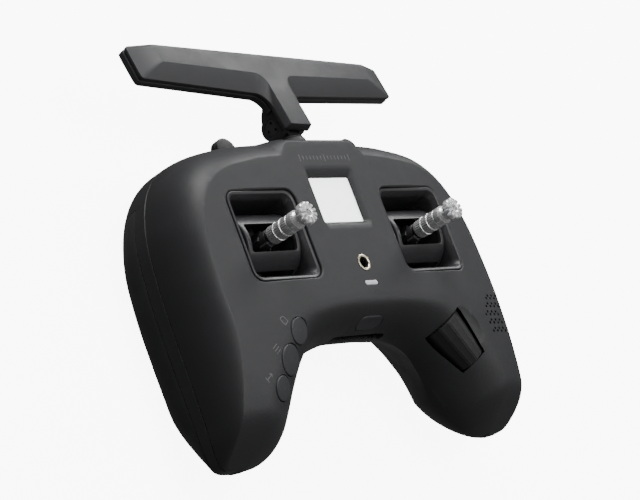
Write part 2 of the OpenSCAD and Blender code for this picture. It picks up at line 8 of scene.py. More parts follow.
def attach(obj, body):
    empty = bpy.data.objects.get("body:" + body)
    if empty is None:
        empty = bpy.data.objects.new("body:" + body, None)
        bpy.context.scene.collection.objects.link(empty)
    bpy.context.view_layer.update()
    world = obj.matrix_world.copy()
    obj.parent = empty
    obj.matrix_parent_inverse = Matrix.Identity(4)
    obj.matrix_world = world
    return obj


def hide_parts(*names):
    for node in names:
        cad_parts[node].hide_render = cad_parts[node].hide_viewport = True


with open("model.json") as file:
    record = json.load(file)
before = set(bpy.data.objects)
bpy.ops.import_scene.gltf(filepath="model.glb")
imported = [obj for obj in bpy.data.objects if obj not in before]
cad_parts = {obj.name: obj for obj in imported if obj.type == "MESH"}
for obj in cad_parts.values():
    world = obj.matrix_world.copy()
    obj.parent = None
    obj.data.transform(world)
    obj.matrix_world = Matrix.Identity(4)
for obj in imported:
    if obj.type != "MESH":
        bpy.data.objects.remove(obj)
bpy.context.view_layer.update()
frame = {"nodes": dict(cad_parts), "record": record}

MM = 0.001
FACE = 48.0          # height of the control face
SEAM = 23.0          # height of the joint between the two shells
WALL = 2.2
GIMBAL_X, GIMBAL_OPEN, PIVOT = 42.2, 36.0, 48.0 - 15.4
SCREEN_Y, STRAP_Y, LIGHT_Y = 13.7, -13.2, -21.4
SCREEN_W, SCREEN_H = 22.8, 18.5
WHEEL_POS, WHEEL_TURN, WHEEL_DIP, WHEEL_LEN = (49, -43.7, FACE - 11.4), -53.8, 3.6, 20.4
HINGE = (0, 50, FACE - 14.2)
ANTENNA_TURN, ANTENNA_FOLD = 3.9, 10.3
KEYS = {"page_button": ((-46.6, -37.6, FACE - 1.9), 5.0, -67, 21),
        "menu_button": ((-53.6, -47.3, FACE - 4.4), 5.8, -61, 25),
        "exit_button": ((-60, -56.8, FACE - 6.7), 4.7, -61, 26)}
POWER_POS, POWER_TILT = (0, -34.6, FACE - 8.1), 69
PORT_Z = FACE - 17.4
TOGGLE = (35, 33.5, FACE - 16)
SHOULDER, SHOULDER_TURN = (50.9, 41, 17.4), 79


# ---- Body shape: the cross-sections of the CAD, with fuller grip tips, sampled finely
# Each row: outer edge x, y; inner edge x, y; inset of the flat face; widths of the inner, rear inner and rear
# outer rounding. The rows run from the top middle round the shoulder to the grip tip.
SECTIONS = np.array([
    [0, 43, 0, -37, 5.5, 10, 13, 9],
    [18, 43, 7, -37, 5.5, 10, 13, 9],
    [23, 43.2, 9, -37, 8, 10, 13, 9],
    [28, 43.5, 11, -37, 11.5, 10, 13, 9],
    [44, 42.2, 18, -37.6, 12.5, 10.5, 14, 10],
    [61.6, 37.8, 26, -39.5, 12, 12, 17, 12],
    [73.6, 27.6, 33, -43, 11, 15, 20, 14],
    [81, 11.6, 37.5, -48, 11, 18, 20, 14],
    [83.8, -8, 41, -53.5, 11, 20.5, 19, 14],
    [84.5, -28, 44, -59, 10.5, 22, 18, 14],
    [84.4, -46, 47.5, -64.5, 7.4, 21, 16, 13],
    [84.1, -60, 51.6, -70.2, 4.3, 19, 14, 11],
    [83.6, -70.2, 56.6, -74.8, 2.2, 13, 11, 8],
    [81.2, -76.7, 62.4, -77.2, 1.4, 8, 6, 4],
    [73, -78.1, 69, -78.0, 1.3, 1, 1, 0.8]])
LAST = len(SECTIONS) - 1
SIDE_ROWS, FACE_ROWS, INNER_ROWS, REAR_ROWS = 16, 26, 16, 14


def section(s):
    """The cross-section at s, on a smooth curve through SECTIONS."""
    before = SECTIONS[1] * [-1, 1, -1, 1, 1, 1, 1, 1]
    rows = np.vstack([before, SECTIONS, 2 * SECTIONS[-1] - SECTIONS[-2]])
    i = min(int(s), LAST - 1)
    f = s - i
    a, b, c, d = rows[i:i + 4]
    return 0.5 * (2 * b + (c - a) * f + (2 * a - 5 * b + 4 * c - d) * f ** 2 + (3 * b - a - 3 * c + d)
                  * f ** 3)


def face_at(x, y):
    return (FACE - 0.0043 * np.maximum(0, -26 - y) ** 2 - 0.05 * np.maximum(0, -62 - y) ** 2
            - 3.2 * (np.abs(x) / 75) ** 4)


def rear_at(y):
    return 0.5 + 0.02 * np.maximum(0, -50 - y) ** 2


def tip(s):
    return max(0.0, (s - LAST + 5) / 5) ** 2


def crease_inset(s, smooth):
    """How far the edge of the flat face lies inside the outline. It steps out at the top middle."""
    stepped = np.interp(s, [0, 1.05, 2.75, 3.4, 4], [5.4, 5.4, 11.9, 12.2, 12.5])
    return stepped if s < 4 else smooth


def bezier(p, n):
    t = np.linspace(0, 1, n + 1)[:, None]
    return (1 - t) ** 3 * p[0] + 3 * (1 - t) ** 2 * t * p[1] + 3 * (1 - t) * t ** 2 * p[2] + t ** 3 * p[3]


def ring(s, w=0.0):
    """One closed cross-section, shrunk inwards by w, as points in millimetres."""
    v = section(s)
    start, end = v[:2], v[2:4]
    width = np.linalg.norm(end - start)
    e = (end - start) / width
    p, run = start + e * w, width - 2 * w
    k = max(0.2, run / width)
    c1, c2, c3, c4 = crease_inset(s, v[4]) * k, v[5] * k, v[6] * k, v[7] * k
    seam_z, pad_z = SEAM - 5 * tip(s), FACE - 31 - 1.5 * tip(s)
    mid_z = FACE - 20 - 8 * np.clip((s - 4) / 5, 0, 1) - 3 * tip(s)
    k3 = np.interp(s, [4, 5.5, 7.5, 9.5], [1.7, 2.1, 2.0, 1.25])
    k4 = np.interp(s, [0, 3, 4, 6.5, 9, 10.3, 11.4, 12.6], [1.25, 1.25, 1.05, 1.08, 0.97, 0.97, 1.25, 1.4])

    def top(a):
        return face_at(*(p + e * a)) - w

    def bottom(a):
        return rear_at((p + e * a)[1]) + w

    z1, z2, z3, z4 = top(c1), top(run - c2), bottom(run - c3), bottom(c4)
    drop = z1 - seam_z
    side = bezier(np.array([[0, seam_z], [0, seam_z + 0.46 * drop], [0.36 * c1, z1 - 0.13 * drop],
                            [c1, z1]]), SIDE_ROWS)
    flat = [c1 + (run - c1 - c2) * i / FACE_ROWS for i in range(1, FACE_ROWS)]
    flat = np.array([[a, top(a)] for a in flat])
    t = angles(0, 90, INNER_ROWS + 1)
    inner = np.column_stack([run - c2 * (1 - np.sin(t) ** 1.1), z2 - (z2 - mid_z) * (1 - np.cos(t) ** 1.1)])
    lower = np.column_stack([run - c3 * (1 - np.cos(t) ** k3), mid_z - (mid_z - z3) * np.sin(t) ** k3])[1:]
    back = np.array([[a, bottom(a)] for a in np.linspace(run - c3, c4, 10)[1:-1]])
    t = angles(0, 90, REAR_ROWS + 1)
    outer = np.column_stack([c4 * (1 - np.sin(t) ** k4), pad_z - (pad_z - z4) * np.cos(t) ** k4])
    q = np.vstack([side, flat, inner, lower, back, outer])
    q = soften(q, SIDE_ROWS, 0.45)
    return np.column_stack([p[0] + e[0] * q[:, 0], p[1] + e[1] * q[:, 0], q[:, 1]])


def soften(q, i, r):
    """Replaces corner i of an open run of points by a tight fillet that reaches r each way."""
    p, a, b = q[i], q[i - 1] - q[i], q[i + 1] - q[i]
    a = p + a * min(0.45, r / np.linalg.norm(a))
    b = p + b * min(0.45, r / np.linalg.norm(b))
    mid = [0.5625 * a + 0.375 * p + 0.0625 * b, 0.25 * a + 0.5 * p + 0.25 * b,
           0.0625 * a + 0.375 * p + 0.5625 * b]
    return np.vstack([q[:i], a, mid, b, q[i + 1:]])


def stations(step, end=LAST):
    """Section positions from the middle to a grip tip, about a step apart along the outer edge."""
    s = np.linspace(0, end, 2000)
    path = np.array([section(v)[:2] for v in s])
    length = np.concatenate([[0], np.cumsum(np.linalg.norm(np.diff(path, axis=0), axis=1))])
    return np.interp(np.linspace(0, length[-1], int(length[-1] / step) + 1), length, s)


def flip(points):
    return points * [-1, 1, 1]


def body_rings(step, w=0.0, end=LAST):
    half = [ring(s, w) for s in stations(step, end)]
    if not w:
        half += rounded_end(half[-1], 0.35)
    return [flip(r) for r in half[:0:-1]] + half


def rounded_end(last, depth):
    """Closes a grip tip with a small dome in place of a flat end."""
    centre = last.mean(axis=0)
    out = Vector((0.3, -0.95, 0)).normalized()
    return [centre + (last - centre) * math.cos(a) + np.array(out) * depth * math.sin(a)
            for a in (0.5, 0.9, 1.2, 1.4)]


# ---- Mesh helpers: parts are (points, faces) in millimetres
def loft(rings):
    """Joins rings with the same number of points. Each ring runs clockwise seen from the last ring."""
    n, m = len(rings[0]), len(rings)
    points = np.vstack(rings)
    faces = [(i * n + j, i * n + (j + 1) % n, (i + 1) * n + (j + 1) % n, (i + 1) * n + j)
             for i in range(m - 1) for j in range(n)]
    faces += [tuple(range(n - 1, -1, -1)), tuple((m - 1) * n + j for j in range(n))]
    return points, faces


def join(*parts):
    points, faces, base = [], [], 0
    for p, f in parts:
        points.append(np.asarray(p, float))
        faces += [tuple(base + i for i in face) for face in f]
        base += len(p)
    return np.vstack(points), faces


def moved(part, matrix):
    points = np.asarray(part[0], float)
    m = np.array(matrix)
    return points @ m[:3, :3].T + m[:3, 3], part[1]


def angles(start, end, n):
    return np.radians(np.linspace(start, end, n))


def turned(axis, degrees):
    return Matrix.Rotation(math.radians(degrees), 4, axis)


def shift(x, y, z):
    return Matrix.Translation((x, y, z))


def mirrored(part):
    return flip(np.asarray(part[0])), [face[::-1] for face in part[1]]


def circle(r, n=48):
    t = np.linspace(0, 2 * math.pi, n, endpoint=False)
    return np.column_stack([r * np.cos(t), r * np.sin(t)])


def rounded(w, h, r, n=8):
    """Outline of a rounded rectangle, anticlockwise."""
    r = max(0.01, min(r, w / 2 - 0.005, h / 2 - 0.005))
    out = []
    for k, (sx, sy) in enumerate([(1, 1), (-1, 1), (-1, -1), (1, -1)]):
        t = np.radians(np.linspace(90 * k, 90 * k + 90, n + 1))
        out.append(np.column_stack([sx * (w / 2 - r) + r * np.cos(t), sy * (h / 2 - r) + r * np.sin(t)]))
    return np.vstack(out)


def stack(levels):
    """Solid through outlines at heights, from the bottom up: [(outline, z), ...]."""
    return loft([np.column_stack([o, np.full(len(o), z) if np.isscalar(z) else z]) for o, z in levels])


def softened(outline, z0, z1, top=0.3, bottom=0.0, steps=4):
    """Prism of outline(inset) with rounded top and bottom edges."""
    a = angles(0, 90, steps + 1)
    low = [(outline(bottom * (1 - math.sin(t))), z0 + bottom * (1 - math.cos(t)))
           for t in a] if bottom else [(outline(0), z0)]
    high = [(outline(top * (1 - math.cos(t))), z1 - top * (1 - math.sin(t)))
            for t in a] if top else [(outline(0), z1)]
    return stack(low + high)


def lathe(profile, n=64, shape=lambda a, r, z: (r, z)):
    """Solid of revolution about Z. The profile runs up the outside, and may come back down a bore.
    shape may change radius and height with the angle, for teeth and knurls."""
    t = np.linspace(0, 2 * math.pi, n, endpoint=False)
    shaped = [[shape(a, r, z) for a in t] for r, z in profile]
    points = np.array([[r * math.cos(a), r * math.sin(a), z] for row in shaped for a,
                       (r, z) in zip(t, row)])
    m = len(profile)
    hollow = profile[0][0] > 0.01 and profile[-1][0] > 0.01
    faces = [(i % m * n + j, i % m * n + (j + 1) % n, (i + 1) % m * n + (j + 1) % n, (i + 1) % m * n + j)
             for i in range(m if hollow else m - 1) for j in range(n)]
    if not hollow:
        faces += [tuple(range(n - 1, -1, -1)), tuple((m - 1) * n + j for j in range(n))]
    return points, faces


def disc(r, z0, z1, top=0.3, bottom=0.0, n=48):
    return softened(lambda i: circle(r - i, n), z0, z1, top, bottom)


def block(w, h, r, z0, z1, top=0.3, bottom=0.0):
    return softened(lambda i: rounded(w - 2 * i, h - 2 * i, max(0.05, r - i)), z0, z1, top, bottom)


def x_disc(r, x0, x1, edge=0.25, n=64):
    return moved(softened(lambda i: circle(r - i, n), x0, x1, edge, edge), turned("Y", 90))


def refine(profile, step):
    out = [profile[0]]
    for a, b in zip(profile, profile[1:]):
        n = max(1, int(math.dist(a, b) / step))
        out += [(a[0] + (b[0] - a[0]) * i / n, a[1] + (b[1] - a[1]) * i / n) for i in range(1, n + 1)]
    return out


def tube(levels):
    """Rounded rectangular tube through (width, height, corner radius, z): up the outside, down the inside."""
    rings = [np.column_stack([rounded(w, h, r), np.full(36, z)]) for w, h, r, z in levels]
    n, m = 36, len(rings)
    faces = [(i * n + j, i * n + (j + 1) % n, (i + 1) % m * n + (j + 1) % n, (i + 1) % m * n + j)
             for i in range(m) for j in range(n)]
    return np.vstack(rings), faces


def along_x(profile, x0, x1):
    """Prism of a (y, z) outline between two x positions."""
    return loft([np.column_stack([np.full(len(profile), x), profile]) for x in (x0, x1)])


def mesh_object(name, part):
    points, faces = part
    mesh = bpy.data.meshes.new(name)
    mesh.from_pydata([tuple(p) for p in np.asarray(points) * MM], [],
                     [tuple(int(i) for i in f) for f in faces])
    mesh.validate()
    mesh.update()
    obj = bpy.data.objects.new(name, mesh)
    bpy.context.scene.collection.objects.link(obj)
    return obj


def signed(part):
    """Turns a closed part the right way out."""
    points, faces = part
    volume = 0.0
    for f in faces:
        a = points[f[0]]
        for i in range(1, len(f) - 1):
            volume += np.dot(a, np.cross(points[f[i]], points[f[i + 1]]))
    return part if volume > 0 else (points, [f[::-1] for f in faces])


def bunch(parts):
    return join(*[signed(part) for part in parts])


def solid(name, part):
    return mesh_object(name, signed(part))


def apply_modifiers(obj):
    evaluated = obj.evaluated_get(bpy.context.evaluated_depsgraph_get())
    mesh = bpy.data.meshes.new_from_object(evaluated)
    obj.modifiers.clear()
    obj.data = mesh


def combine(obj, part, operation="DIFFERENCE"):
    """Cuts a closed part out of a mesh, keeps only what lies inside it, or adds it."""
    tool = solid("cutter", part)
    modifier = obj.modifiers.new("cut", "BOOLEAN")
    modifier.object, modifier.operation, modifier.solver = tool, operation, "MANIFOLD"
    apply_modifiers(obj)
    bpy.data.objects.remove(tool)


def bevel(obj, width, segments=3, angle=35):
    modifier = obj.modifiers.new("bevel", "BEVEL")
    modifier.width, modifier.segments = width * MM, segments
    modifier.limit_method, modifier.angle_limit = "ANGLE", math.radians(angle)
    modifier.use_clamp_overlap = True
    apply_modifiers(obj)


def place(obj, matrix):
    """Moves an object's mesh by a matrix given in millimetres."""
    m = matrix.copy()
    m.translation = m.translation * MM
    obj.data.transform(m)


def join_objects(first, second):
    """Adds the second object's mesh to the first."""
    bpy.context.view_layer.update()
    with bpy.context.temp_override(active_object=first, object=first, selected_objects=[first, second],
                                   selected_editable_objects=[first, second]):
        bpy.ops.object.join()


def shade(obj, angle=32):
    """Smooth shading, kept sharp across edges steeper than the angle."""
    mesh = obj.data
    mesh.polygons.foreach_set("use_smooth", [True] * len(mesh.polygons))
    normals = np.zeros(len(mesh.polygons) * 3)
    mesh.polygons.foreach_get("normal", normals)
    normals = normals.reshape(-1, 3)
    first = {}
    limit = math.cos(math.radians(angle))
    sharp = np.zeros(len(mesh.edges), bool)
    loops = np.zeros(len(mesh.loops), int)
    mesh.loops.foreach_get("edge_index", loops)
    owner = np.repeat(np.arange(len(mesh.polygons)), [p.loop_total for p in mesh.polygons])
    for edge, face in zip(loops, owner):
        if edge in first:
            sharp[edge] = normals[face] @ normals[first[edge]] < limit
        else:
            first[edge] = face
    attribute = mesh.attributes.get("sharp_edge") or mesh.attributes.new("sharp_edge", "BOOLEAN", "EDGE")
    attribute.data.foreach_set("value", sharp)
    mesh.update()


def piece(name, part, slot, body, nodes=(), angle=32, bevel_width=0, look=None):
    """Adds a finished piece. part is (points, faces) in millimetres, or an object made earlier.
    The material is the one of the slot, unless look names another."""
    obj = mesh_object(name, part) if isinstance(part, tuple) else part
    obj.name = name
    if bevel_width:
        bevel(obj, bevel_width)
    shade(obj, angle)
    obj.data.materials.clear()
    obj.data.materials.append(materials[look or slot])
    if nodes:
        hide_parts(*nodes)
    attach(obj, body)


# ---- Materials
class Nodes:
    """A material under construction, with short calls for the nodes used here."""

    def __init__(self, name):
        self.material = bpy.data.materials.new(name)
        self.material.use_nodes = True
        self.tree = self.material.node_tree
        self.shader = self.tree.nodes["Principled BSDF"]
        self.place = self.tree.nodes.new("ShaderNodeTexCoord").outputs["Object"]

    def noise(self, scale_mm, detail=3, rough=0.55, stretch=None):
        node = self.tree.nodes.new("ShaderNodeTexNoise")
        node.inputs["Scale"].default_value = 1000 / scale_mm
        node.inputs["Detail"].default_value = detail
        node.inputs["Roughness"].default_value = rough
        place = self.place
        if stretch:
            mapping = self.tree.nodes.new("ShaderNodeMapping")
            mapping.inputs["Scale"].default_value = stretch
            self.tree.links.new(place, mapping.inputs["Vector"])
            place = mapping.outputs["Vector"]
        self.tree.links.new(place, node.inputs["Vector"])
        return node.outputs["Fac"]

    def cloud(self, scale_mm, detail, low, high):
        """Soft patches that run from low to high."""
        return self.ramp(self.noise(scale_mm, detail), 0.3, 0.7, low, high)

    def cells(self, scale_mm, feature="F1"):
        node = self.tree.nodes.new("ShaderNodeTexVoronoi")
        node.feature = feature
        node.inputs["Scale"].default_value = 1000 / scale_mm
        self.tree.links.new(self.place, node.inputs["Vector"])
        return node.outputs["Distance"]

    def ramp(self, value, low, high, out_low, out_high):
        """Maps value from low..high to out_low..out_high, which are both numbers or both colours."""
        if isinstance(out_low, (int, float)):
            node = self.tree.nodes.new("ShaderNodeMapRange")
            for key, number in (("From Min", low), ("From Max", high), ("To Min", out_low),
                                ("To Max", out_high)):
                node.inputs[key].default_value = number
            self.tree.links.new(value, node.inputs["Value"])
            return node.outputs["Result"]
        node = self.tree.nodes.new("ShaderNodeValToRGB")
        node.color_ramp.elements[0].position, node.color_ramp.elements[1].position = low, high
        node.color_ramp.elements[0].color = (*out_low, 1)
        node.color_ramp.elements[1].color = (*out_high, 1)
        self.tree.links.new(value, node.inputs["Fac"])
        return node.outputs["Color"]

    def math(self, kind, a, b):
        node = self.tree.nodes.new("ShaderNodeMath")
        node.operation = kind
        for socket, value in zip(node.inputs, (a, b)):
            if isinstance(value, (int, float)):
                socket.default_value = value
            else:
                self.tree.links.new(value, socket)
        return node.outputs["Value"]

    def mix(self, fac, a, b):
        node = self.tree.nodes.new("ShaderNodeMix")
        node.data_type = "RGBA"
        for key, value in ((0, fac), (6, a), (7, b)):
            if isinstance(value, tuple):
                node.inputs[key].default_value = (*value, 1)
            elif isinstance(value, (int, float)):
                node.inputs[key].default_value = value
            else:
                self.tree.links.new(value, node.inputs[key])
        return node.outputs[2]

    def edges(self):
        """Near 1 along convex edges, which rub first."""
        node = self.tree.nodes.new("ShaderNodeNewGeometry")
        return self.ramp(node.outputs["Pointiness"], 0.52, 0.58, 0.0, 1.0)

    def bump(self, height, depth_mm, strength=1.0):
        node = self.tree.nodes.new("ShaderNodeBump")
        node.inputs["Strength"].default_value = strength
        node.inputs["Distance"].default_value = depth_mm * MM
        self.tree.links.new(height, node.inputs["Height"])
        previous = self.shader.inputs["Normal"].links
        if previous:
            self.tree.links.new(previous[0].from_socket, node.inputs["Normal"])
        self.tree.links.new(node.outputs["Normal"], self.shader.inputs["Normal"])

    def set(self, **values):
        for key, value in values.items():
            socket = self.shader.inputs[key.replace("_", " ")]
            if isinstance(value, tuple):
                socket.default_value = (*value, 1)
            elif isinstance(value, (int, float)):
                socket.default_value = value
            else:
                self.tree.links.new(value, socket)


def scaled(colour, factor):
    return tuple(c * factor for c in colour)


def plastic(name, colour, rough=0.5, grain=0.16, depth=0.012, lift=1.35):
    """Moulded plastic with spark-eroded grain, faint clouding, handling marks and rubbed edges."""
    m = Nodes(name)
    light = scaled(colour, lift)
    cloud = m.noise(22, 4)
    speck = m.noise(0.5, 2)
    tone = m.mix(m.ramp(cloud, 0.3, 0.7, 0.0, 1.0), colour, scaled(colour, 1.1))
    tone = m.mix(m.ramp(speck, 0.55, 0.75, 0.0, 0.35), tone, light)
    tone = m.mix(m.math("MULTIPLY", m.edges(), 0.25), tone, scaled(colour, 2.2))
    smudge = m.ramp(m.noise(9, 5, 0.65), 0.35, 0.7, rough - 0.05, rough + 0.05)
    m.set(Base_Color=tone, Roughness=m.math("ADD", smudge, m.ramp(speck, 0.3, 0.7, -0.02, 0.02)))
    m.set(IOR=1.48, Specular_IOR_Level=0.35)
    m.bump(m.noise(grain, 3), depth)
    m.bump(m.noise(14, 2), 0.02)
    return m.material


def rubber(name, colour, rough=0.62):
    """Soft-touch overmould with a fine pebble texture and dull dust in its low spots."""
    m = Nodes(name)
    pebble = m.cells(0.55)
    tone = m.mix(m.cloud(16, 4, 0.0, 1.0), colour, scaled(colour, 1.2))
    tone = m.mix(m.ramp(pebble, 0.0, 0.5, 0.25, 0.0), tone, scaled(colour, 1.8))
    m.set(Base_Color=tone, Roughness=m.cloud(6, 4, rough - 0.06, rough + 0.08))
    m.set(IOR=1.45, Specular_IOR_Level=0.3, Sheen_Weight=0.03, Sheen_Roughness=0.5)
    m.bump(pebble, 0.03, 0.6)
    m.bump(m.noise(0.12, 2), 0.008)
    return m.material


def metal(name, colour, rough, stretch=(1, 1, 1), pure=1.0):
    """Turned or brushed metal: fine tool lines, faint colour drift and smears."""
    m = Nodes(name)
    lines = m.noise(0.25, 3, 0.6, stretch)
    tone = m.mix(m.cloud(5, 3, 0.0, 1.0), scaled(colour, 0.88), colour)
    tone = m.mix(m.ramp(lines, 0.4, 0.7, 0.0, 0.3), tone, scaled(colour, 0.75))
    m.set(Base_Color=tone, Metallic=pure)
    m.set(Roughness=m.math("ADD", m.cloud(3, 5, rough - 0.06, rough + 0.08),
                           m.ramp(lines, 0.3, 0.7, -0.03, 0.05)))
    m.bump(lines, 0.004)
    return m.material


def circuit(name):
    """Green solder mask with lighter tracks and small gold pads."""
    m = Nodes(name)
    track = m.ramp(m.cells(2.4, "DISTANCE_TO_EDGE"), 0.03, 0.05, 1.0, 0.0)
    pad = m.ramp(m.cells(3.1), 0.1, 0.13, 1.0, 0.0)
    tone = m.mix(track, (0.01, 0.09, 0.04), (0.03, 0.2, 0.09))
    m.set(Base_Color=m.mix(pad, tone, (0.75, 0.55, 0.2)), Metallic=pad, Roughness=m.cloud(4, 3, 0.25, 0.4))
    m.bump(track, 0.02)
    return m.material


def display(name):
    """Pale display, lit evenly: an almost white sheet with a fine pixel grid."""
    m = Nodes(name)
    grid = m.cells(0.35)
    cloud = m.cloud(18, 2, 0.0, 1.0)
    tone = m.mix(cloud, (0.84, 0.855, 0.84), (0.9, 0.905, 0.895))
    m.set(Base_Color=m.mix(m.ramp(grid, 0.3, 0.6, 0.0, 0.15), tone, (0.8, 0.81, 0.8)),
          Roughness=m.cloud(7, 3, 0.3, 0.4))
    m.set(Emission_Color=(0.95, 1.0, 0.97), Emission_Strength=3.2)
    m.bump(grid, 0.004)
    return m.material


def clear_window(name):
    m = Nodes(name)
    m.set(Base_Color=(0.97, 0.985, 0.98), Roughness=m.cloud(11, 4, 0.02, 0.05), IOR=1.49,
          Transmission_Weight=1.0)
    m.bump(m.noise(30, 2), 0.004)
    return m.material


def light_lens(name):
    """Frosted lens of the status light."""
    m = Nodes(name)
    cloud = m.cloud(1.6, 3, 0.0, 1.0)
    m.set(Base_Color=m.mix(cloud, (0.48, 0.5, 0.54), (0.58, 0.6, 0.63)),
          Roughness=m.cloud(0.8, 3, 0.3, 0.42))
    m.set(Subsurface_Weight=0.25, Subsurface_Scale=0.001, IOR=1.5)
    m.bump(m.noise(0.2, 2), 0.006)
    return m.material


def wrapped(name):
    """Glossy blue shrink wrap round a battery cell, slightly wrinkled."""
    m = Nodes(name)
    colour = (0.03, 0.12, 0.35)
    wrinkle = m.noise(2.5, 4, 0.6, (0.3, 1, 1))
    m.set(Base_Color=m.mix(m.cloud(12, 2, 0.0, 1.0), colour, scaled(colour, 1.3)),
          Roughness=m.ramp(wrinkle, 0.3, 0.7, 0.18, 0.3))
    m.bump(wrinkle, 0.06)
    return m.material


def make_materials():
    plastics = {"shell": ((0.022, 0.0225, 0.024),),
                "antenna_plastic": ((0.026, 0.0265, 0.028), 0.47),
                "cover_plastic": ((0.028, 0.028, 0.03), 0.5, 0.2, 0.014),
                "key_plastic": ((0.032, 0.033, 0.036), 0.44, 0.12, 0.006),
                "gimbal_plastic": ((0.024, 0.024, 0.026), 0.36, 0.2, 0.005),
                "inner_plastic": ((0.02, 0.02, 0.021), 0.55, 0.2, 0.01),
                "bore_shade": ((0.004, 0.004, 0.004), 0.6, 0.1, 0.003, 0.1),
                "toggle_plastic": ((0.007, 0.007, 0.0075), 0.5, 0.2, 0.004),
                "jack_plastic": ((0.012, 0.012, 0.013), 0.28, 0.2, 0.003)}
    metals = {"stick_metal": ((0.92, 0.92, 0.93), 0.24, (1, 1, 12), 0.62),
              "brass": ((0.9, 0.82, 0.62), 0.26, (1, 1, 10)),
              "screw_steel": ((0.16, 0.16, 0.17), 0.35),
              "spring_steel": ((0.6, 0.6, 0.62), 0.25),
              "shield_metal": ((0.62, 0.63, 0.65), 0.3, (1, 6, 1)),
              "copper": ((0.8, 0.45, 0.3), 0.3)}
    rubbers = {"grip_rubber": ((0.026, 0.027, 0.027),), "wheel_rubber": ((0.015, 0.015, 0.016), 0.6)}
    made = {name: plastic(name, *values) for name, values in plastics.items()}
    made |= {name: metal(name, *values) for name, values in metals.items()}
    made |= {name: rubber(name, *values) for name, values in rubbers.items()}
    others = {"circuit_board": circuit, "display_body": display, "display_glass": clear_window,
              "light_lens": light_lens, "cell_wrap": wrapped, "print": printed}
    return made | {name: make(name) for name, make in others.items()}


def printed(name):
    """Pale grey pad-printed ink, a little worn."""
    m = Nodes(name)
    worn = m.ramp(m.noise(0.9, 4, 0.7), 0.35, 0.6, 0.0, 1.0)
    m.set(Base_Color=m.mix(worn, (0.05, 0.051, 0.053), (0.11, 0.112, 0.116)),
          Roughness=m.cloud(2, 3, 0.5, 0.65))
    m.bump(m.noise(0.2, 2), 0.004)
    return m.material


# ---- Camera, floor and light
def make_camera():
    data = bpy.data.cameras.new("camera")
    data.lens, data.sensor_width, data.clip_start, data.clip_end = 136.87, 36, 0.05, 20
    camera = bpy.data.objects.new("camera", data)
    right, down = Vector((0.66, -0.3411, 0.6694)), Vector((-0.0315, -0.9028, -0.4289))
    forward = Vector((0.7506, 0.262, -0.6066))
    turn = Matrix((right, -down, -forward)).transposed().to_4x4()
    camera.matrix_world = Matrix.Translation(Vector((-0.6928, -0.2415, 0.5901))) @ turn
    bpy.context.scene.collection.objects.link(camera)
    bpy.context.scene.camera = camera


def make_floor():
    size = 3.0
    mesh = bpy.data.meshes.new("floor")
    mesh.from_pydata([(-size, -size, 0), (size, -size, 0), (size, size, 0), (-size, size, 0)], [],
                     [(0, 1, 2, 3)])
    floor = bpy.data.objects.new("floor", mesh)
    floor.location.z = -0.0004
    bpy.context.scene.collection.objects.link(floor)
    m = Nodes("floor")
    m.set(Base_Color=m.cloud(400, 2, (0.94, 0.94, 0.94), (0.97, 0.97, 0.97)), Roughness=0.7)
    m.set(Emission_Color=(1.0, 1.0, 1.0), Emission_Strength=8.0)
    mesh.materials.append(m.material)
    floor.visible_diffuse = floor.visible_glossy = False


def area_light(name, spot, target, size, power):
    data = bpy.data.lights.new(name, "AREA")
    data.shape, data.size, data.energy = "DISK", size, power
    lamp = bpy.data.objects.new(name, data)
    lamp.location = spot
    lamp.rotation_euler = (Vector(target) - Vector(spot)).to_track_quat("-Z", "Y").to_euler()
    bpy.context.scene.collection.objects.link(lamp)


def make_lights():
    world = bpy.data.worlds.new("world")
    world.use_nodes = True
    background = world.node_tree.nodes["Background"]
    background.inputs["Color"].default_value = (1, 1, 1, 1)
    background.inputs["Strength"].default_value = 0.17
    bpy.context.scene.world = world
    area_light("key", (-0.1, 1.25, 0.8), (0, 0.03, 0.03), 0.9, 25)
    area_light("top", (0.0, 0.1, 2.2), (0, 0.0, 0.0), 1.6, 32)
    area_light("right", (1.2, 1.1, 0.75), (0, 0.03, 0.03), 0.8, 15)
    area_light("low", (1.2, -0.35, 1.6), (0, 0, 0.03), 1.0, 6)


# ---- Shells
def seam_height(y, base=SEAM):
    """The joint dips a little towards the grip tips."""
    return base - np.interp(-y, [40, 46, 59, 68.5, 75, 77.2], [0, 0.2, 0.8, 1.8, 3.2, 4.2])


def seam_block(low, high):
    """A slab that reaches past the body on all sides, between two heights or curved seams."""
    ys = np.linspace(-95, 60, 156)

    def line(level):
        near_seam = abs(level - SEAM) < 1
        return seam_height(ys, level) if near_seam else np.full(len(ys), float(level))

    top, bottom = line(high), line(low)
    profile = np.vstack([np.column_stack([ys, bottom]), np.column_stack([ys, top])[::-1]])
    return along_x(profile, -110, 110)


def groove(points, width, depth):
    """A V-shaped cutter along a line on the body's side, open outwards."""
    points = np.array(points)
    ahead = np.roll(points, -1, axis=0) - np.roll(points, 1, axis=0)
    ahead[0], ahead[-1] = points[1] - points[0], points[-1] - points[-2]
    ahead[:, 2] = 0
    ahead /= np.linalg.norm(ahead, axis=1)[:, None]
    out = np.column_stack([-ahead[:, 1], ahead[:, 0], np.zeros(len(points))])
    beyond = 0.5
    rise = np.array([0, 0, width / 2 * (1 + beyond / depth)])
    return loft([np.array([p - o * depth, p + o * beyond - rise, p + o * beyond + rise]) for p,
                 o in zip(points, out)])


def seam_groove():
    """Chamfers both lips of the joint along the outer side, from one grip tip round the top to the other."""
    outer = [ring(s)[0] for s in stations(1.2, LAST - 0.7)]
    return groove([flip(p) for p in outer[:0:-1]] + outer, 0.6, 0.3)


def surface_point(x, y):
    return float(face_at(x, y))


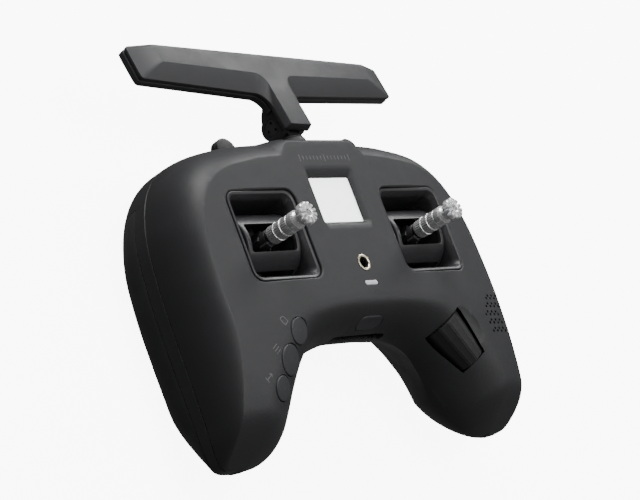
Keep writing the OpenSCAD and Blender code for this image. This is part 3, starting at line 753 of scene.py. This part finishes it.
def trumpet(outline, centre, depth, lip):
    """Cutter for an opening in the face: straight walls that open out in a rounded lip."""
    base = outline(0) + centre
    z = face_at(base[:, 0], base[:, 1])
    levels = [(base, z - depth)]
    for a in angles(0, 80, 7):
        spread = lip * (1 - math.cos(a))
        levels.append((outline(-spread) + centre, z - lip * (1 - math.sin(a))))
    levels.append((outline(-spread - 0.25) + centre, z + 1.5))
    return stack(levels)


def aimed(pos, plan, tilt):
    return shift(*pos) @ turned("Z", plan) @ turned("Y", tilt)


def wheel_frame():
    return shift(*WHEEL_POS) @ turned("Z", WHEEL_TURN) @ turned("Y", 90 + WHEEL_DIP)


def power_frame():
    return shift(*POWER_POS) @ turned("X", POWER_TILT)


def port_frame(x, y):
    """+Z points out of the port, towards the grips."""
    return shift(x, y, PORT_Z) @ turned("X", 90)


def shoulder_frame(sign):
    """+Z points out of the shoulder button."""
    x, y, z = SHOULDER
    turn = SHOULDER_TURN if sign > 0 else 180 - SHOULDER_TURN
    return shift(sign * x, y, z) @ turned("Z", turn) @ turned("Y", 90)


def grille_holes():
    """Five double rows of small staggered holes over the speaker, following the edge of the grip."""
    holes = []
    for row in range(5):
        for i in range(7):
            x = 63.4 + 1.9 * max(0, 2 - row) + 1.1 * max(0, row - 2) + 1.5 * i
            y = -30.4 - 3.35 * row + 1.1 * (i % 2)
            if x < 76:
                holes.append(moved(disc(0.6, -5, 2, top=0, n=16), shift(x, y, surface_point(x, y) - 0.6)))
    return holes


def front_cutters():
    """Openings of the front shell, as two lists: the second overlaps the first."""
    first, second = [], []
    for x in (-GIMBAL_X, GIMBAL_X):
        first.append(trumpet(lambda i: rounded(GIMBAL_OPEN - 2 * i, GIMBAL_OPEN - 2 * i, 4.5 - i, 10),
                             (x, 0), 6, 0.7))
    first.append(screen_cutter())
    first.append(moved(disc(3.4, -5, 2, top=0), shift(0, STRAP_Y, FACE)))
    first.append(moved(block(7.2, 2.1, 0.8, -5, 2, top=0), shift(0, LIGHT_Y, FACE)))
    for pos, r, plan, tilt in KEYS.values():
        lip = lathe([(0.0, -5), (r + 0.2, -5), (r + 0.2, -0.3), (r + 0.45, 0.05), (r + 2.0, 2.5),
                     (0.0, 2.5)], 64)
        first.append(moved(lip, aimed(pos, plan, tilt)))
    first.append(moved(block(14.2, 7.8, 3.85, -5, 4, top=0), power_frame()))
    first.append(wheel_cutter())
    first += grille_holes()
    for x in (-1, 1):
        first.append(moved(block(12.8, 11, 1.2, -7, 5, top=0),
                           shift(x * TOGGLE[0], 43, TOGGLE[2]) @ turned("X", -90)))
    first.append(moved(disc(7.1, -14, 2, top=0), shift(0, 43, HINGE[2]) @ turned("X", -90)))
    first.append(moved(block(31, 5.4, 2.2, -3.4, 2.6, top=0), port_frame(0, -37.6)))
    second.append(moved(block(9.4, 3.6, 1.75, -1, 7, top=0), port_frame(-4, -33)))
    second.append(moved(disc(2.9, -1, 7, top=0), port_frame(9.5, -33)))
    return first, second


def screen_cutter():
    """Recess with a broad bevelled surround that is wider above the display than below it."""
    def box_outline(w, h, r, dy):
        return rounded(w, h, r) + [0, SCREEN_Y + dy]
    return stack([(box_outline(SCREEN_W, SCREEN_H, 0.8, 0), FACE - 5),
                  (box_outline(SCREEN_W, SCREEN_H, 0.8, 0), FACE - 1.75),
                  (box_outline(SCREEN_W + 0.5, SCREEN_H + 0.5, 1.0, 0.05),
                   FACE - 1.5), (box_outline(SCREEN_W + 3.9, SCREEN_H + 4.7, 1.9, 0.6), FACE - 0.12),
                  (box_outline(SCREEN_W + 4.7, SCREEN_H + 5.5, 2.3, 0.6), FACE + 0.06),
                  (box_outline(SCREEN_W + 5.5, SCREEN_H + 6.3, 2.5, 0.6), FACE + 1)])


def wheel_cutter():
    """The wheel sits in a tapered trough."""
    return moved(stack([(circle(10.5), -WHEEL_LEN / 2 - 0.6), (circle(7.4), WHEEL_LEN / 2 + 0.5)]),
                 wheel_frame())


def scoop_cutter():
    """Shallow dish beside the wheel, where the thumb rolls off."""
    x, y = 51.4, -45.0
    up = Vector((0.052, -0.148, 1)).normalized()
    along = Vector((0.435, -0.9, -0.15)).normalized()
    across = up.cross(along)
    turn = Matrix((along, across, up)).transposed().to_4x4()
    points, faces = lathe([(math.sin(a), -math.cos(a)) for a in angles(1, 179, 32)], 64)
    return moved((points * [16.5, 7.7, 4.0], faces), shift(x, y, surface_point(x, y) + 2.35) @ turn)


def front_shell():
    body = solid("front_shell_skin", loft(body_rings(0.9)))
    combine(body, loft(body_rings(2.5, WALL, LAST - 1.2)))
    combine(body, seam_block(SEAM + 0.02, 80), "INTERSECT")
    first, second = front_cutters()
    combine(body, bunch(first))
    combine(body, bunch(second))
    combine(body, scoop_cutter())
    combine(body, seam_groove())
    piece("front_shell_skin", body, "shell", "chassis", ["front_shell"])


def rear_shell():
    body = solid("rear_shell_skin", loft(body_rings(0.9)))
    combine(body, loft(body_rings(2.5, WALL, LAST - 1.2)))
    combine(body, seam_block(-5, SEAM - 0.02), "INTERSECT")
    combine(body, seam_groove())
    for side in (1, -1):
        recess = signed(pad_solid(-0.5, 1.35, 0.28))
        combine(body, recess if side > 0 else signed(mirrored(recess)))
    combine(body, moved(block(78.4, 46.4, 4, -2, 1.0, top=0), shift(0, 0, 0.5)))
    combine(body, block(70, 40, 3, 0, 6, top=0))
    holes = [moved(lathe([(0.01, -3), (4.2, -3), (3.0, 0.35), (3.0, 1.9), (0.01, 1.9)], 48),
                   shift(x, y, z)) for x, y, z in screw_places()]
    holes += [moved(lathe([(0.01, -8), (4.45, -8), (4.45, 0.1), (5.6, 1.6), (0.01, 1.6)], 48),
                    shoulder_frame(sign)) for sign in (-1, 1)]
    combine(body, bunch(holes))
    piece("rear_shell_skin", body, "shell", "chassis", ["rear_shell"])


def screw_places():
    """Where the shell screws sit, at the floor of their counterbores' mouths."""
    return [(side * x, y, float(rear_at(y))) for x,
            y in ((50, 27.5), (68, -64), (21.5, 31)) for side in (-1, 1)]


# ---- Grip pads
PAD_FROM, PAD_TO = 6.2, 12.7


def pad_solid(outer, inner, grow):
    """The strip of the grip under the second seam, between two depths, widened all round by grow."""
    rings = []
    for s in np.linspace(PAD_FROM - grow / 12, PAD_TO + grow / 8, 90):
        a, b = ring(s, outer)[-REAR_ROWS - 1:], ring(s, inner)[-REAR_ROWS - 1:]
        for r in (a, b):
            d = r[0] - r[1]
            r[0] = r[0] + d / np.linalg.norm(d) * grow
            d = r[-1] - r[-2]
            r[-1] = r[-1] + d / np.linalg.norm(d) * grow
        rings.append(np.vstack([a, b[::-1]]))
    return loft(rings)


def grip_pads():
    for sign, side in ((1, "right"), (-1, "left")):
        part = signed(pad_solid(0.02, 1.2, 0.0))
        part = part if sign > 0 else signed(mirrored(part))
        piece(side + "_pad", part, "grip_rubber", "chassis", [side + "_grip_pad"],
              bevel_width=0.3)


# ---- Screen, insert and light
def screen():
    glass = block(SCREEN_W + 3, SCREEN_H + 3, 1, 0, 0.8, 0.12)
    piece("window", moved(glass, shift(0, SCREEN_Y, FACE - WALL - 1)), "display_glass", "chassis",
          ["screen_window"])
    panel = join(block(SCREEN_W + 2.4, SCREEN_H + 2.4, 0.6, 2.2, 3.1, 0.1),
                 block(SCREEN_W + 4, SCREEN_H + 6, 1, 0, 2.1, 0.2))
    piece("display_panel", moved(panel, shift(0, SCREEN_Y, FACE - WALL - 4.3)), "display_body", "chassis",
          ["display_module"])


def strap_insert():
    """Brass insert: rounded rim and chamfered mouth round a bore with its thread; the bore liner is coloured
    near black as painted shade inside the hole.
    """
    pitch, r = 0.7, 1.95
    thread = [(r + (0.18 if i % 2 else 0.0), 6.4 - 0.5 * pitch * i) for i in range(13)]
    profile = [(3.3, 0), (3.3, 7.0), (3.2, 7.22), (3.0, 7.3), (2.6, 7.3), (2.45, 7.22), (2.25, 7.05),
               (2.2, 6.6), (2.2, 0)]

    spot = shift(0, STRAP_Y, FACE - 7)
    piece("strap_ring", moved(lathe(profile, 96), spot), "brass", "chassis", ["strap_insert"], 40)
    # The bore liner and its closing plug get the near-black bore_shade material: painted shade for the inside
    # of the hole.
    bore = [(2.18, 0), (2.18, 6.75)] + thread + [(r, 1.2), (0.01, 1.1)]
    piece("strap_bore", moved(lathe(bore, 96), spot), "jack_plastic", "chassis", (), 40,
          look="bore_shade")


def status_light():
    piece("light_bar", moved(block(7, 1.9, 0.85, 0, 4.05, 0.35), shift(0, LIGHT_Y, FACE - 4)),
          "light_lens", "chassis", ["status_light"])


# ---- Rear side
def screw_head(r, height, drive):
    """Low round head with a hexagonal socket, standing on z = 0 and facing down."""
    body = solid("screw", lathe([(0.01, 0), (r, 0), (r, -height + 0.35), (r - 0.12, -height + 0.12),
                                 (r - 0.4, -height), (0.01, -height)], 48))
    hexagon = np.array([[drive * math.cos(a), drive * math.sin(a)] for a in np.radians(np.arange(6) * 60)])
    combine(body, stack([(hexagon * 1.15, -height - 0.2), (hexagon, -height + 0.2), (hexagon, -0.35)]))
    return body


def screws():
    shell_places = [(x, y, z + 1.7) for x, y, z in screw_places()]
    cover_places = [(-36.4, 0, 0.75), (36.4, 0, 0.75)]
    for name, node, places, head_size, shank_r, shank_end in (
            ("shell_screw_heads", "shell_screws", shell_places, (2.55, 1.55, 1.3), 1.3, 6),
            ("cover_screw_heads", "cover_screws", cover_places, (1.9, 0.62, 0.95), 0.85, 4)):
        whole = None
        for spot in places:
            screw = screw_head(*head_size)
            join_objects(screw, solid("shank", disc(shank_r, 0.02, shank_end, top=0.1, n=32)))
            place(screw, shift(*spot))
            if whole:
                join_objects(whole, screw)
            else:
                whole = screw
        piece(name, whole, "screw_steel", "chassis", [node], 30)


def rear_cover():
    """Battery cover: rounded edge, a raised lip round the rim, two screw recesses and rows of grip ribs."""
    body = solid("cover", block(78, 46, 4, 0, 1.4, 0.15, 0.5))
    combine(body, join(*[moved(rounded_bar(30, 0.8), shift(0, y, 0)) for y in np.arange(-14, 14.5, 2.8)]))
    combine(body, tube([(66, 38, 3, -1), (66, 38, 3, 0.25), (64.8, 36.8, 2.4, 0.25),
                        (64.8, 36.8, 2.4, -1)]))
    holes = [moved(lathe([(0.01, -1), (2.35, -1), (2.1, 0.2), (2.1, 0.72), (1.1, 0.72), (1.1, 4),
                          (0.01, 4)], 48), shift(x, 0, 0)) for x in (-36.4, 36.4)]
    combine(body, bunch(holes))
    bevel(body, 0.1, 2, 45)
    inner = solid("inner", block(69.4, 39.4, 3, 1.42, 2.6, 0.2))
    join_objects(body, inner)
    piece("battery_cover", body, "cover_plastic", "chassis", ["rear_cover"], 30)


def rounded_bar(length, width):
    """Long half-round cutter across the cover."""
    return along_x(circle(width, 12) * [1, 0.5], -length, length)


# ---- Printed marks
def strip_mark(points, width):
    """Thin printed line along points on the face, just proud of the surface."""
    p = np.array(points, float)
    along = np.gradient(p, axis=0)
    along /= np.linalg.norm(along, axis=1)[:, None]
    across = np.column_stack([-along[:, 1], along[:, 0]]) * width / 2
    a, b = p + across, p - across
    low = [[(x, y, surface_near(x, y) - 0.25) for x, y in row] for row in (a, b)]
    high = [[(x, y, surface_near(x, y) + 0.02) for x, y in row] for row in (a, b)]
    rings = [np.array([low[0][i], low[1][i], high[1][i], high[0][i]]) for i in range(len(p))]
    return loft(rings)


def surface_near(x, y):
    """Height of the front shell under a point, measured on the finished mesh."""
    shell = bpy.data.objects["front_shell_skin"]
    hit, spot, _, _ = shell.ray_cast(Vector((x * MM, y * MM, 0.1)), Vector((0, 0, -1)))
    return spot.z / MM if hit else surface_point(x, y)


def line(a, b, n=5):
    return [(a[0] + (b[0] - a[0]) * i / (n - 1), a[1] + (b[1] - a[1]) * i / (n - 1)) for i in range(n)]


def prints():
    """Plain signs beside the three keys (page, list, way out), and a tick scale above the display."""
    marks = []

    def glyph(cx, cy, angle, strokes):
        c, s = math.cos(math.radians(angle)), math.sin(math.radians(angle))
        for stroke in strokes:
            pts = [(cx + x * c - y * s, cy + x * s + y * c) for x, y in stroke]
            dense = []
            for p, q in zip(pts, pts[1:]):
                dense += line(p, q)[:-1]
            marks.append(strip_mark(dense + [pts[-1]], 0.3))

    glyph(-53.7, -33.3, 35, [[(-1.1, -1.5), (1.1, -1.5)], [(1.1, -1.5), (1.1, 0.8)],
                             [(1.1, 0.8), (0.4, 1.5)], [(0.4, 1.5), (-1.1, 1.5)],
                             [(-1.1, 1.5), (-1.1, -1.5)]])
    glyph(-60.8, -43.3, 35, [[(-1.4, 1.2), (1.4, 1.2)], [(-1.4, 0), (1.4, 0)], [(-1.4, -1.2), (1.4, -1.2)]])
    glyph(-66.8, -52.6, 35, [[(-1.5, 0), (1.1, 0)], [(1.5, 0), (0.5, 0.9)], [(1.5, 0), (0.5, -0.9)],
                             [(-1.6, 1.2), (-1.6, -1.2)]])
    for i in range(-7, 8):
        half = 1.4 if i % 7 == 0 else 0.8
        marks.append(strip_mark(line((i * 2.0, 30.6 - half), (i * 2.0, 30.6 + half), 3), 0.35))
    piece("printed_marks", bunch(marks), "shell", "chassis", (), look="print")


# ---- Gimbals
def gimbal_frame(side, x):
    """Square well with a bezel that is sunk a little at its rim and rolls down into the well."""
    o, w = GIMBAL_OPEN - 0.35, 34.6
    levels = [(w, 4, -8.6), (w, 4, 11.1), (o, 4.25, 11.1), (o, 4.25, 14.1), (o - 0.2, 4.15, 14.35),
              (o - 0.7, 4.0, 14.48), (o - 1.4, 3.8, 14.42), (o - 2.4, 3.6, 14.15), (o - 3.5, 3.4, 13.35),
              (o - 4.5, 3.2, 12.4), (o - 5.0, 3.1, 11.7), (30.3, 3.0, 10.9), (30.3, 3.0, -8.6)]
    body = solid("frame", tube([(w, w, r, z) for w, r, z in levels]))
    bore = moved(disc(2.05, -30, 30, top=0, n=32), turned("Y", 90))
    combine(body, bore)
    place(body, shift(x, 0, PIVOT))
    piece(side + "_gimbal_well", body, "gimbal_plastic", "chassis", [side + "_gimbal_frame"], 24)


def yoke(side, x):
    """Barrel with rounded ends, a window for the stick and ribbed inner walls."""
    turn = turned("Y", 90)
    body = solid("yoke", moved(softened(lambda i: circle(13.4 - i, 96), -14, 14, 0.7, 0.7), turn))
    combine(body, moved(disc(11.7, -12.4, 12.4, top=0, n=96), turn))
    combine(body, block(24, 11.2, 1.3, 1, 20, 0))
    combine(body, block(70, 50, 1, -30, -7.4, 0))
    combine(body, block(24.6, 50, 2.2, -30, 7.2, 0))
    bevel(body, 0.22, 2, 40)
    ribs = [moved(block(0.9, 17, 0.3, 6.4, 10.6, 0.2), shift(s * 9.4, 0, 0)) for s in (-1, 1)]
    stub = moved(disc(2.0, -17.2, 17.2, top=0.2, bottom=0.2, n=48), turn)
    parts = mesh_object("ribs", bunch(ribs))
    combine(parts, moved(disc(8.2, -30, 30, top=0, n=64), turn))
    combine(parts, block(70, 11.4, 1, -20, 20, 0))
    join_objects(body, parts)
    ends = solid("ends", stub)
    combine(ends, moved(disc(5, -12.3, 12.3, top=0, n=32), turn))
    join_objects(body, ends)
    place(body, shift(x, 0, PIVOT))
    piece(side + "_barrel", body, "gimbal_plastic", side + "_yoke", [side + "_yoke"], 30)


def stick_carrier(side, x):
    hub = moved(softened(lambda i: circle(4.2 - i, 64), -9.5, 9.5, 0.5, 0.5), turned("X", 90))
    pin = moved(disc(1.5, -13, 13, top=0.2, bottom=0.2), turned("X", 90))
    collar = lathe([(3.3, 0), (3.3, 11.6), (3.15, 11.9), (2.9, 12.0), (2.9, 12.5), (3.1, 12.6),
                    (3.1, 13.0), (2.9, 13.2), (0.01, 13.2)], 64)
    stud = disc(1.7, 13.2, 15.2, top=0.2)
    lugs = [moved(block(1.9, 2.6, 0.4, 8.6, 12.9, 0.35), turned("Z", a) @ shift(3.7, 0, 0))
            for a in (52, 232)]
    webs = [moved(block(0.9, 5.4, 0.2, -1.5, 9.5, 0.3), turned("Z", a) @ shift(2.9, 0, 0))
            for a in (-38, 142)]
    part = moved(join(hub, pin, collar, stud, *lugs, *webs), shift(x, 0, PIVOT))
    piece(side + "_carrier", part, "gimbal_plastic", side + "_stick", [side + "_stick_carrier"], 30)


def knurl(a, r, z):
    """Straight knurl: sharp little ridges along the grip, only where the profile is widest."""
    if 3.52 < r < 3.66:
        phase = (a * 26 / (2 * math.pi)) % 1
        return r - 0.17 * abs(2 * phase - 1) ** 0.8, z
    return r, z


def stick_grip(side, x):
    profile = [(1.8, 0), (3.2, 0), (3.45, 0.25), (3.6, 0.35), (3.6, 3.3), (3.47, 3.45), (3.7, 3.55),
               (3.72, 3.75), (3.7, 3.95), (3.47, 4.05), (3.6, 4.2), (3.6, 6.9), (3.47, 7.05), (3.7, 7.15),
               (3.7, 7.35), (3.47, 7.5), (3.6, 7.6), (3.6, 10.6), (3.3, 10.75), (3.3, 11.1), (3.67, 11.3),
               (3.7, 11.5), (3.7, 13.7), (3.6, 14.0), (3.3, 14.5), (2.7, 15.0), (1.25, 15.0), (1.25, 3.0),
               (1.8, 3.0)]
    grip = lathe(refine(profile, 0.5), 208, knurl)
    piece(side + "_grip", moved(grip, shift(x, 0, PIVOT + 13.3)), "stick_metal", side + "_stick",
          [side + "_stick_grip"], 28)


def crown(a, r, z):
    """Twelve radial notches from the hole to the rim of the cap, deepest at the rim."""
    phase = abs(((a * 12 / (2 * math.pi)) % 1) - 0.5) * 2
    notch = max(0.0, min(1.0, (phase - 0.62) / 0.2))
    if z > 3.0 and r > 1.7:
        z -= notch * min(1.0, (r - 1.7) / 0.7) * (1.9 if z > 4.2 else 0.9)
        r -= notch * 0.5 * (1 if r > 3.9 else 0)
    elif z > 1.6 and r > 3.4:
        r -= notch * 0.25
    return r, z


def stick_cap(side, x):
    profile = [(2.4, 0), (2.35, 0.9), (2.7, 1.1), (3.6, 1.55), (4.1, 1.9), (4.35, 2.3), (4.4, 2.6),
               (4.4, 4.1), (4.32, 4.5), (4.0, 4.85),
               (3.5, 5.0), (1.9, 5.0), (1.72, 4.9), (1.35, 4.7), (1.3, 4.4), (1.25, 1.6), (0.01, 1.6)]
    shank = disc(1.2, -6, 0.5, top=0, n=32)
    part = join(lathe(refine(profile, 0.35), 144, crown), shank)
    piece(side + "_cap", moved(part, shift(x, 0, PIVOT + 28.4)), "stick_metal", side + "_stick",
          [side + "_stick_cap"], 30)


# ---- Keys, power button and ports
def dome(r, z0, z1, rise, lip=0.35, n=64):
    """Round key cap: straight skirt, rounded edge, slightly domed top."""
    edge = [(r - lip * (1 - math.cos(a)), z1 - lip * (1 - math.sin(a))) for a in angles(0, 80, 6)]
    inner = r - lip
    top = [(inner * k, z1 + rise * (1 - k * k)) for k in (0.95, 0.85, 0.7, 0.5, 0.3, 0.12, 0.01)]
    return lathe([(r, z0)] + edge + top, n)


def keys():
    for name, (pos, r, plan, tilt) in KEYS.items():
        part = join(dome(r - 0.08, -4.4, 0.06, 0.22), disc(r + 0.4, -5.2, -4.45, top=0.1),
                    disc(1.4, -6, -5.25, top=0.1))
        piece(name + "_cap", moved(part, aimed(pos, plan, tilt)), "key_plastic", name, [name])


def power_button():
    def outline(i):
        return rounded(13.8 - 2 * i, 7.4 - 2 * i, 3.65 - i, 12)

    edge = [(outline(0.4 * (1 - math.cos(a))), 0.1 - 0.4 * (1 - math.sin(a))) for a in angles(0, 80, 6)]
    dish = [(outline(0.4 + k), 0.1 - 0.05 * k) for k in (0.8, 1.6, 2.4, 3.1)]
    part = join(stack([(outline(0), -4.4)] + edge + dish), block(15, 8.6, 4.2, -5.2, -4.45, 0.1))
    piece("power_key", moved(part, power_frame()), "key_plastic", "power_button", ["power_button"])


def usb_port():
    """Stamped shell with a rolled mouth, and the tongue with its contacts inside."""
    def oval(w, h):
        return rounded(w, h, h / 2 - 0.02, 10)

    levels = [(oval(8.9, 3.1), -7.2), (oval(8.9, 3.1), -0.15), (oval(8.7, 2.9), 0),
              (oval(8.4, 2.6), -0.05), (oval(8.3, 2.5), -0.3), (oval(8.3, 2.5), -6.4)]
    rings = [np.column_stack([o, np.full(len(o), z)]) for o, z in levels]
    shell = loft(rings)
    piece("usb_shell", moved(signed(shell), port_frame(-4, -34.6)), "shield_metal", "chassis",
          ["usb_socket"])
    tongue = block(6.6, 0.7, 0.25, -6.3, -0.9, 0.15)
    piece("usb_tongue", moved(tongue, port_frame(-4, -34.6)), "jack_plastic", "chassis", ())
    contacts = join(*[moved(block(0.28, 0.06, 0.02, -5.5, -1.4, 0), shift(-2.7 + 0.6 * i, s * 0.37, 0))
                      for i in range(10) for s in (-1, 1)])
    piece("usb_contacts", moved(contacts, port_frame(-4, -34.6)), "brass", "chassis", ())


def jack():
    profile = [(2.6, -3), (2.6, -0.25), (2.45, 0), (2.1, 0), (1.85, -0.25), (1.8, -0.5), (1.8, -9.5),
               (0.01, -9.5)]
    part = join(lathe(profile, 64), block(6.8, 6, 0.4, -11.8, -2.8, 0.2))
    piece("jack_body", moved(part, port_frame(9.5, -34.6)), "jack_plastic", "chassis", ["jack_socket"])
    rings = join(*[lathe([(1.795, z), (1.795, z + 0.5), (1.7, z + 0.45), (1.7, z + 0.05)], 48)
                   for z in (-3.2, -5.6)])
    piece("jack_contacts", moved(rings, port_frame(9.5, -34.6)), "shield_metal", "chassis", ())


# ---- Scroll wheel
def wheel_section(r, n=12, per=10):
    """Twelve flats with a fine groove along each corner."""
    out = []
    for k in range(n):
        a0, a1 = 2 * math.pi * k / n, 2 * math.pi * (k + 1) / n
        p0, p1 = np.array([math.cos(a0), math.sin(a0)]) * r, np.array([math.cos(a1), math.sin(a1)]) * r
        for i in range(per):
            f = i / per
            p = p0 + (p1 - p0) * f
            near = min(f, 1 - f) * per
            out.append(p * (1 - (0.16 * max(0.0, 1 - near) - 0.05 * max(0.0, 1 - abs(near - 1.2))) / r))
    return np.array(out)


def scroll_wheel():
    edge = ((0, 0.7), (0.12, 0.3), (0.35, 0.08), (0.8, 0))
    levels = [(-WHEEL_LEN / 2 + k, inset) for k,
              inset in edge] + [(WHEEL_LEN / 2 - k, inset) for k, inset in edge[::-1]]
    rings = []
    for z, inset in levels:
        r = 9 - 2.4 * (z / WHEEL_LEN + 0.5) - inset
        rings.append(np.column_stack([wheel_section(r), np.full(120, z)]))
    body = solid("wheel", loft(rings))
    combine(body, disc(1.55, -30, 30, top=0, n=40))
    place(body, wheel_frame())
    piece("thumb_wheel", body, "wheel_rubber", "scroll_wheel", ["scroll_wheel"], 24)


# ---- Antenna
def swivel_frame():
    return shift(*HINGE) @ turned("Y", ANTENNA_TURN)


def antenna_frame():
    return swivel_frame() @ turned("X", -ANTENNA_FOLD)


def t_outline(end, tip_low, root_low, reach, stem, bottom, top, shrink=0.0):
    """Half outline of the T from its top corner to the stem's foot, mirrored into a closed line."""
    end, stem, bottom, top = end - shrink, stem - shrink, bottom + shrink, top - shrink
    r = reach - stem
    lower = [(end, top), (end - 0.14 * (75.7 - end), tip_low + shrink), (reach, root_low + shrink)]
    t = angles(0, 90, 9)[1:]
    fillet = [(stem + r * (1 - math.sin(a)), root_low + shrink - r * (1 - math.cos(a))) for a in t]
    half = lower + fillet + [(stem, bottom)]
    return np.array(half + [(-x, y) for x, y in half[::-1]])


def rounded_corners(*outlines):
    """Rounds the four outer corners of each T outline, and keeps their point counts equal."""
    out = []
    for outline in outlines:
        points = []
        for i, p in enumerate(outline):
            if abs(p[0]) > 50:
                before, after = outline[i - 1], outline[(i + 1) % len(outline)]
                a = p + (before - p) / np.linalg.norm(before - p) * 1.6
                b = p + (after - p) / np.linalg.norm(after - p) * 1.6
                points += [(1 - t) ** 2 * a + 2 * t * (1 - t) * p + t * t * b for t in np.linspace(0, 1, 6)]
            else:
                points.append(p)
        out.append(np.array(points))
    return out


def antenna_front():
    rim, under = (t_outline(75.7, 15, 11.9, 14, 7.4, -4.4, 29.8, shrink) for shrink in (0, 0.35))
    plateau = t_outline(64.9, 21.6, 19.9, 11.8, 6.2, -4.2, 29.4)
    rings = rounded_corners(under, rim, plateau)
    body = solid("front", stack([(rings[0], 4.5), (rings[1], 4.9), (rings[1], 6.1), (rings[2], 8.85)]))
    bevel(body, 0.55, 3, 14)
    place(body, antenna_frame())
    piece("antenna_face", body, "antenna_plastic", "antenna", ["antenna_front"], 40)


def antenna_rear():
    outlines = [t_outline(75.7, 15, 11.9, 13.8, 7.2, -4.4, 29.8, shrink) for shrink in (1.0, 0, 0.4)]
    back, rim, inner = rounded_corners(*outlines)
    body = solid("rear", stack([(back, 0.9), (rim, 1.7), (rim, 3.95), (inner, 4.35)]))
    combine(body, moved(block(20, 13.4, 0.3, -5, 12, 0), shift(0, -1.3, 0)))
    for side in (-1, 1):
        lobe = hinge_lobe(3.1 * side, 6.3 * side)
        combine(body, lobe, "UNION")
        combine(body, x_disc(3.5, 5.7, 8, 0) if side > 0 else x_disc(3.5, -8, -5.7, 0))
    combine(body, x_disc(1.3, -9, 9, 0, 40))
    bevel(body, 0.25, 2, 40)
    place(body, antenna_frame())
    piece("antenna_back", body, "antenna_plastic", "antenna", ["antenna_rear"], 34)


def hinge_lobe(x0, x1):
    """Rounded ear of the hinge that runs up into the back of the stem."""
    arc = [(5.2 * math.cos(a), 5.2 * math.sin(a)) for a in angles(170, 330, 26)]
    profile = np.array([(9.4, 1.0), (9.4, 4.3), (-4.35, 4.3), (-4.4, 4.1), (-4.4, 2.4)] + arc[1:-1]
                       + [(5.4, -2.5), (6.8, -1.6), (8.6, 0.1)])
    return along_x(profile, x0, x1)


def antenna_hinge():
    discs = []
    for side in (-1, 1):
        face = solid("cap", x_disc(3.4, 5.75, 6.3, 0.12) if side > 0 else x_disc(3.4, -6.3, -5.75, 0.12))
        for angle in (20, 140, 260):
            a = math.radians(angle)
            combine(face, moved(x_disc(0.62, -9, 9, 0, 24), shift(0, 2.0 * math.cos(a), 2.0 * math.sin(a))))
        discs.append(face)
    join_objects(discs[0], discs[1])
    place(discs[0], antenna_frame())
    piece("hinge_discs", discs[0], "cover_plastic", "antenna", ["antenna_hinge_caps"])


def swivel_base():
    top = -6.3
    flange = moved(softened(lambda i: circle(6.4 - i, 64), 0, 0.95, 0.3, 0.1),
                   shift(0, top, 0) @ turned("X", -90))
    shaft = moved(disc(3.0, 0, 6.8, top=0), shift(0, -13, 0) @ turned("X", -90))
    body = solid("swivel", flange)
    combine(body, moved(block(5.8, 8.4, 0.5, 0.4, 6.3, 0), shift(0, top, 0) @ turned("X", -90)), "UNION")
    combine(body, x_disc(4.3, -2.9, 2.9, 0.2), "UNION")
    combine(body, x_disc(1.35, -9, 9, 0, 40))
    bevel(body, 0.2, 2, 40)
    join_objects(body, solid("shaft", shaft))
    place(body, swivel_frame())
    piece("swivel_base", body, "cover_plastic", "antenna_mount", ["antenna_swivel"], look="toggle_plastic")


def bushing():
    profile = [(7, -6), (7, -0.5), (6.85, -0.15), (6.5, 0), (3.4, 0), (3.05, -0.3), (3.05, -6)]
    piece("bushing_ring", moved(signed(lathe(profile, 64)), shift(0, 43.6, HINGE[2]) @ turned("X", -90)),
          "cover_plastic", "chassis", ["antenna_bushing"])


# ---- Shoulder controls
def toggle(side, x):
    """Half-round paddle on its pivot, with three grip ribs over the top."""
    arc = angles(170, 10, 25)
    outline = [(-5.2, 0.5), (-5.2, 6.2)] + [(5.0 * math.cos(a), 7.6 + 5.0 * math.sin(a))
                                            for a in arc] + [(5.2, 6.2), (5.2, 0.5)]
    outline = np.array(outline)
    centre = np.array([0, 5.0])

    def inset(i):
        return centre + (outline - centre) * (1 - i / 7.0)

    half = [(0, 0.4), (0.25, 0.75), (0, 1.4), (0.08, 1.75), (0.35, 2.05), (0.9, 2.2)]
    levels = [(inset(i), -z) for i, z in half[::-1]] + [(inset(i), z) for i, z in half]
    body = solid("toggle", stack(levels))
    combine(body, x_disc(3.0, -6.3, 6.3, 0.2), "UNION")
    combine(body, x_disc(1.55, -10, 10, 0, 40))
    place(body, shift(x, TOGGLE[1], TOGGLE[2]))
    piece(side + "_paddle", body, "key_plastic", side + "_toggle", [side + "_toggle"], 26,
          look="toggle_plastic")


def shoulder_button(side, sign):
    part = join(dome(4.2, -5.6, 0.3, 0.15), disc(4.9, -6.4, -5.65, top=0.1))
    piece(side + "_shoulder_cap", moved(part, shoulder_frame(sign)), "key_plastic", side + "_shoulder_button",
          [side + "_shoulder_button"])


# ---- Scene
def finish_cad_nodes():
    """CAD parts that keep their shape get the procedural material of their slot."""
    for sub in frame["record"]["subparts"]:
        node = frame["nodes"][sub["node"]]
        node.data.materials.clear()
        node.data.materials.append(materials[sub["material_slot"]])


materials = make_materials()
make_camera()
make_floor()
make_lights()
finish_cad_nodes()
front_shell()
rear_shell()
grip_pads()
prints()
screws()
rear_cover()
screen()
strap_insert()
status_light()
for side, sign in (("left", -1), ("right", 1)):
    gimbal_frame(side, sign * GIMBAL_X)
    yoke(side, sign * GIMBAL_X)
    stick_carrier(side, sign * GIMBAL_X)
    stick_grip(side, sign * GIMBAL_X)
    stick_cap(side, sign * GIMBAL_X)
    toggle(side, sign * TOGGLE[0])
    shoulder_button(side, sign)
keys()
power_button()
usb_port()
jack()
scroll_wheel()
antenna_front()
antenna_rear()
antenna_hinge()
swivel_base()
bushing()
